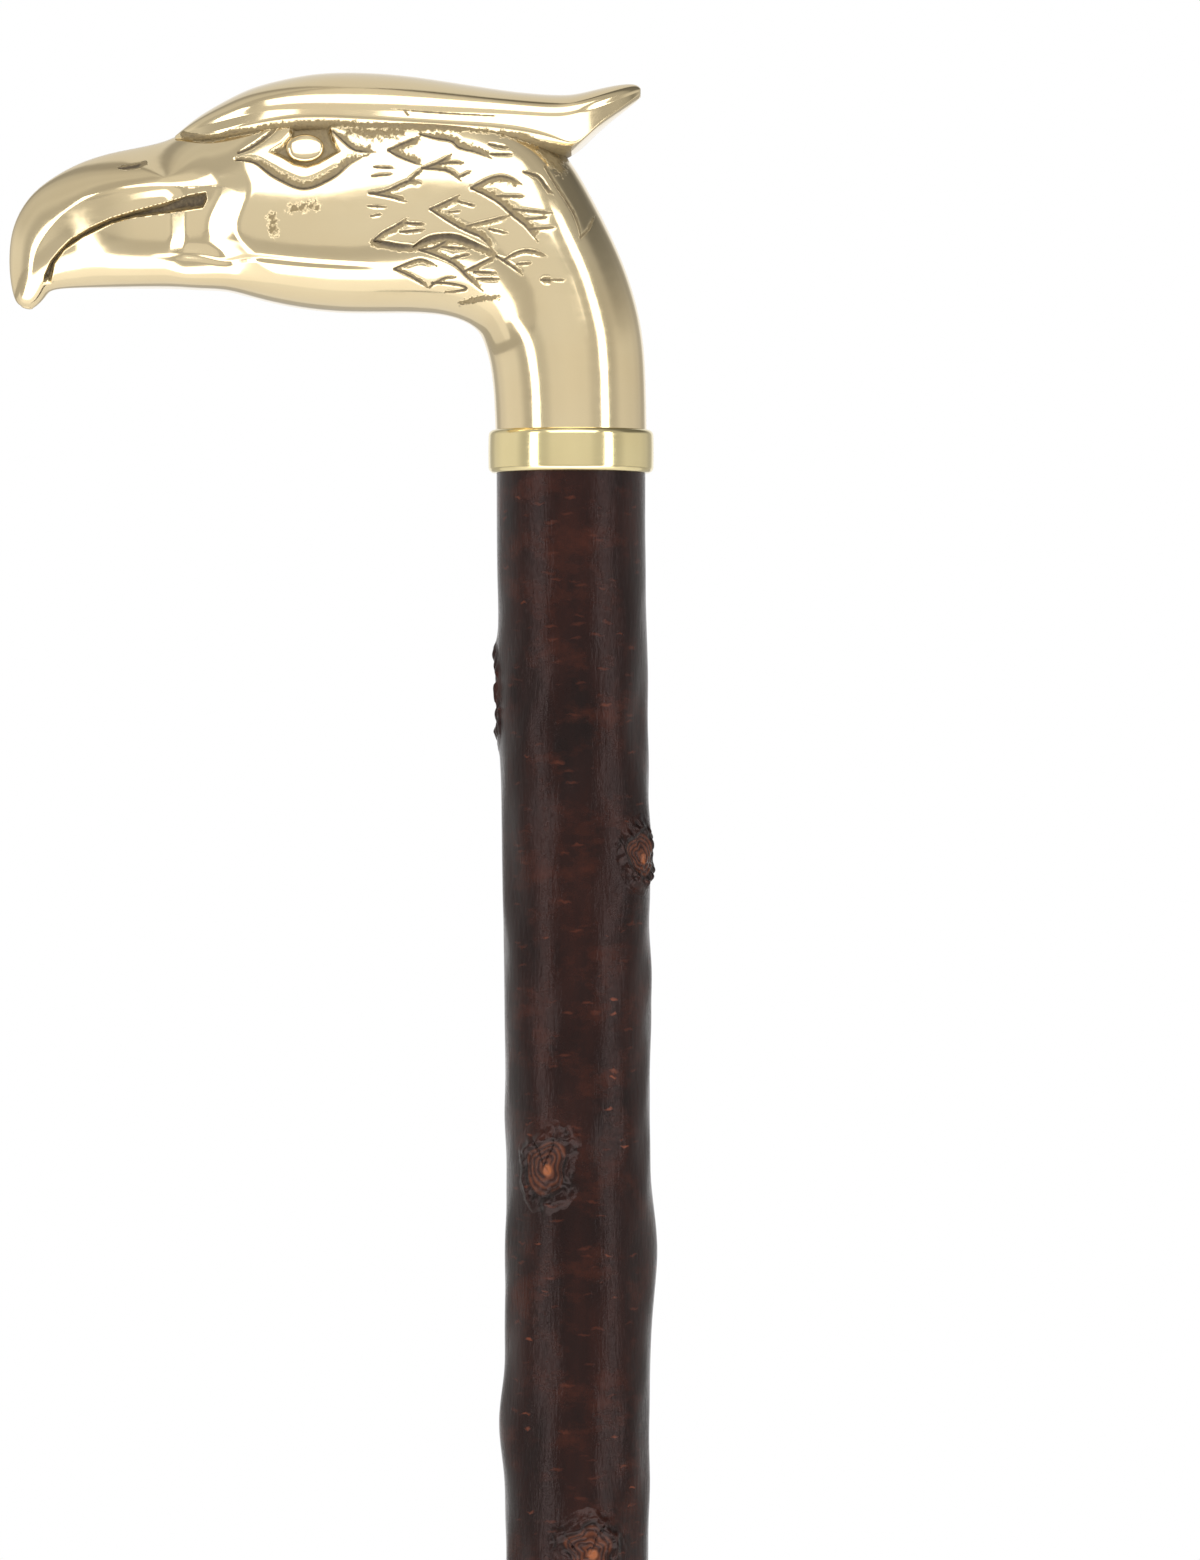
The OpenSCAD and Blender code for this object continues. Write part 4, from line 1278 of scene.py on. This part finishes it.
# Where the innermost ring lies, and how rings close up towards it
LAST_RING, RING_POWER = 0.995, 0.9
SCAR_PROUD, SCAR_BURIED = 0.03, 0.55
SCAR_BACK = 3.0
BORDER_START, BORDER_W, BORDER_POWER = 1.5, 0.45, 1.5
SCAR_WOBBLE, WOBBLE_WAVES = 0.07, 6
RIM_H, RIM_AT, RIM_W, RIM_RAGGED, RIM_CRUMBS = 0.42, 1.1, 0.24, 0.35, (-2, 1)
DISH_DEPTH = 0.50
GROWTH_H, GROWTH_RINGS, GROWTH_RAGGED = 0.04, 5, 0.9
CRUMB_H, CRUMB_WAVES, CRUMB_FINENESS = 0.10, 46, 7
CRACKS, CRACK_DEPTH, CRACK_W = 2, 0.25, 0.035
CRACK_LEANS, CRACK_SHIFT, CRACK_WAVER, CRACK_BENDS = (0.9, 2.2), 0.35, 0.05, 5
# How far a crack runs past the middle, and the length over which it ends there
CRACK_PAST, CRACK_ENDS = 0.3, 0.4
# Crumbs are lower inside this reach, down to this share
CALM_REACH, CALM_SHARE = 0.7, 0.2
# Where each of these has faded out, and the length over which it fades
CRACK_FADE, GROWTH_FADE, CRUMB_FADE = (1.5, 0.4), (1.0, 0.2), (1.7, 0.5)
HOLLOW_FADE, WOOD_FADE = (1.6, 0.3), (0.95, 0.2)
# Dark paint lies in hollows of the crumbs, in the cracks and in a gap round the wood
HOLLOW_CRUMBS, HOLLOW_START = (-0.5, 0.8), 0.5
GAP_AT, GAP_W = 0.93, 0.08
CRACK_DARK, GAP_DARK = 0.5, 0.7
GRAIN_LEVEL, GRAIN_RINGS, GRAIN_CRUMBS = 0.45, 0.35, 0.12
HEART_AT, HEART_FADE, HEART_STRENGTH = (0.1, -0.15), (0.24, 0.1), 0.8
# Waves start anywhere up to this phase, which is a little more than a full turn
PHASES = 7
SCAR_SEED = 20
SCAR_SMOOTH = 70
# Columns and rings of the skins of the scars given one by one, and of those further down
SCAR_GRIDS = {"upper": (150, 72), "lower": (90, 34)}


def scar_skin(name, knot, seed, columns, count):
    """A closed skin for one scar, with its wood, heart, cracks and growth rings painted on it."""
    height, azimuth, half_width, half_length = knot
    dice = np.random.default_rng(seed)
    turns = np.linspace(0, 2 * math.pi, columns + 1)[None, :-1]
    reach = SCAR_REACH * (1 - np.linspace(0, LAST_RING, count)[:, None] ** RING_POWER)
    wobble = sum(dice.normal(0, SCAR_WOBBLE) * np.cos(k * turns + dice.uniform(0, PHASES))
                 for k in range(1, WOBBLE_WAVES + 1))
    away = reach * (1 + wobble)
    u, v = reach * np.cos(turns), reach * np.sin(turns)
    crumbs = np.zeros_like(away)
    for _ in range(CRUMB_WAVES):
        slope = dice.normal(0, CRUMB_FINENESS, 2)
        crumbs += np.cos(slope[0] * u + slope[1] * v + dice.uniform(0, PHASES))
    crumbs /= math.sqrt(CRUMB_WAVES / 2)
    crack = np.zeros_like(away)
    for _ in range(CRACKS):
        lean, shift = dice.uniform(*CRACK_LEANS), dice.normal(0, CRACK_SHIFT)
        waver = CRACK_WAVER * np.sin(CRACK_BENDS * v + dice.uniform(0, PHASES))
        bent = u * math.sin(lean) - v * math.cos(lean) + shift + waver
        side = np.clip((v * dice.choice([-1, 1]) + CRACK_PAST) / CRACK_ENDS, 0, 1)
        split = np.exp(-((bent / CRACK_W) ** 2)) * side * falls(away, *CRACK_FADE)
        crack = np.maximum(crack, split)
    rim = RIM_H * np.exp(-(((away - RIM_AT) / RIM_W) ** 2))
    rim *= 1 + RIM_RAGGED * np.clip(crumbs, *RIM_CRUMBS)
    dish = DISH_DEPTH * np.clip(1 - away**2, 0, 1)
    phase = 2 * math.pi * GROWTH_RINGS * away + GROWTH_RAGGED * crumbs
    growth = GROWTH_H * np.cos(phase) * falls(away, *GROWTH_FADE)
    calm = np.clip(away / CALM_REACH, CALM_SHARE, 1)
    rough = CRUMB_H * crumbs * falls(away, *CRUMB_FADE) * calm
    border = np.clip((reach - BORDER_START) / BORDER_W, 0, 1) ** BORDER_POWER
    border = SCAR_BURIED * border - SCAR_PROUD
    relief = rim - dish + growth + rough - CRACK_DEPTH * crack - border
    turned_to = math.radians(azimuth) + u * half_width / plain_radius(height)
    skin = bark_surface(turned_to, height + v * half_length, relief)
    back = bark_surface(turned_to[:1], height + v[:1] * half_length, -SCAR_BACK)
    hollows = falls(crumbs, *HOLLOW_CRUMBS) * falls(away, *HOLLOW_FADE)
    hollows *= np.clip(away - HOLLOW_START, 0, 1)
    ring_gap = np.exp(-(((away - GAP_AT) / GAP_W) ** 2))
    from_heart = np.hypot(u - HEART_AT[0], v - HEART_AT[1])
    grain = GRAIN_LEVEL + GRAIN_RINGS * np.cos(phase) + GRAIN_CRUMBS * crumbs
    painted = {
        "wood": falls(away, *WOOD_FADE),
        "heart": HEART_STRENGTH * falls(from_heart, *HEART_FADE),
        "dark": np.clip(CRACK_DARK * crack + hollows + GAP_DARK * ring_gap, 0, 1),
        "grain": np.clip(grain, 0, 1),
    }
    painted = {label: np.concatenate([0 * values[:1], values]) for label, values in painted.items()}
    return sew(name, np.concatenate([back, skin]) * MM, painted)


by_hand = len(KNOTS_PLACED)
for name, chosen in (("upper", knots[:by_hand]), ("lower", knots[by_hand:])):
    skins = [scar_skin(f"shaft_scars_{name}", knot, seed, *SCAR_GRIDS[name])
             for seed, knot in enumerate(chosen, SCAR_SEED) if knot[2]]
    deselect()
    for skin in skins:
        skin.select_set(True)
    bpy.context.view_layer.objects.active = skins[0]
    bpy.ops.object.join()
    skins[0].name = f"shaft_scars_{name}"
    smooth_below(SCAR_SMOOTH)
    dress(skins[0], "stick", "shaft", finish_bark)

# %% [markdown]
# ## The ferrule
# A rubber ferrule is pressed over the tip band. It is moulded, so its foot, its grip rings and its
# mouth are round, and its sole has tread grooves. It is turned like the brass and rides on its own
# body, because it pulls off.

# %% Ferrule
FERRULE_FOOT_H = 7
FERRULE_MOUTH_R = 13
FERRULE_FLOOR = 9
FERRULE_BORE_R = 9.55
FERRULE_EDGE = 1.2
FOOT_TURN = 80
RIB_COUNT = 3
RIB_H = 2.4
RIB_DEPTH = 0.8
RIB_POINTS = 13
TREAD_SHARES = (0.45, 0.68, 0.88)
TREAD_W, TREAD_DEPTH = 1.6, 1.2
# A groove's floor is narrower than its mouth by this share
TREAD_FLOOR = 0.8
# Points of the hollow curve from the foot up to the waist: (past the waist, above the foot)
WAIST_CURVE = [(1.2, 0.35), (0.4, 0.8)]

ferrule_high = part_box("rubber_ferrule")[1]
foot_r, ferrule_h = ferrule_high.x / MM, ferrule_high.z / MM
waist_r = FERRULE_MOUTH_R - RIB_DEPTH
sole_r = foot_r - FERRULE_EDGE
rib_pitch = (ferrule_h - FERRULE_FOOT_H - FERRULE_EDGE) / (RIB_COUNT + 1)
ferrule_outline = [(0, 0)]
for tread in TREAD_SHARES:
    middle, half = sole_r * tread, TREAD_W / 2
    ferrule_outline += [(middle + half * share, depth) for share, depth in (
        (-1, 0), (-TREAD_FLOOR, TREAD_DEPTH), (TREAD_FLOOR, TREAD_DEPTH), (1, 0))]
ferrule_outline += arc((sole_r, FERRULE_EDGE), FERRULE_EDGE, -90, 0)
ferrule_outline += arc((sole_r, FERRULE_FOOT_H - FERRULE_EDGE), FERRULE_EDGE, 0, FOOT_TURN)
ferrule_outline += [(waist_r + out, FERRULE_FOOT_H + up) for out, up in WAIST_CURVE]
for i in range(1, RIB_COUNT + 1):
    middle = FERRULE_FOOT_H + FERRULE_EDGE + i * rib_pitch
    ferrule_outline += [
        (waist_r + RIB_DEPTH * (0.5 + 0.5 * math.cos(math.pi * t)), middle + t * RIB_H / 2)
        for t in np.linspace(-1, 1, RIB_POINTS)]
ferrule_outline += arc((waist_r - FERRULE_EDGE, ferrule_h - FERRULE_EDGE), FERRULE_EDGE, 0, 90)
ferrule_outline += [(FERRULE_BORE_R, ferrule_h), (FERRULE_BORE_R, FERRULE_FLOOR),
                    (0, FERRULE_FLOOR)]


def rubber():
    """Moulded rubber: nearly black, matt and dusty, with a fine skin."""
    material, tree, shader, place = new_material("rubber")
    dust = noise(tree, place, 120, 5, 0.6)
    dusty = [(0.35, (0.012, 0.012, 0.013)), (0.75, (0.03, 0.029, 0.028))]
    fill(tree, shader, {
        "Base Color": ramp(tree, dust, dusty),
        "Roughness": ramp(tree, dust, [(0.3, 0.5), (0.7, 0.68)]),
        "Normal": bump(tree, noise(tree, place, 1800, 2, 0.5), 0.15, 0.0002)})
    return material


ferrule = turned("ferrule_moulding", ferrule_outline)
dress(ferrule, "ferrule", "rubber_ferrule", rubber())

# %% [markdown]
# ## Pieces inside the joint
# The bush, the stud, the insert and the washer are right as they were packed, so they keep their
# solids and only get their finishes.


# %% Inner pieces
def plated_steel():
    """Zinc-plated steel: grey, with cloudy crystals and turning marks."""
    material, tree, shader, place = new_material("plated_steel")
    cloud = noise(tree, place, 500, 4, 0.6)
    marks = noise(tree, stretched(tree, place, (80, 80, 3000)), 1, 2)
    fill(tree, shader, {
        "Base Color": ramp(tree, cloud, [(0.35, (0.50, 0.51, 0.53)), (0.7, (0.64, 0.65, 0.66))]),
        "Metallic": 1,
        "Roughness": ramp(tree, cloud, [(0.3, 0.28), (0.7, 0.42)]),
        "Normal": bump(tree, marks, 0.15, 0.0001)})
    return material


finish_steel = plated_steel()
for name, finish in (("neck_bush", finish_turned_brass), ("shaft_insert", finish_turned_brass),
                     ("stud", finish_steel), ("ferrule_washer", finish_steel)):
    mesh = nodes[name].data
    mesh.materials.clear()
    mesh.materials.append(finish)
    print(name, "keeps its solid with", finish.name)
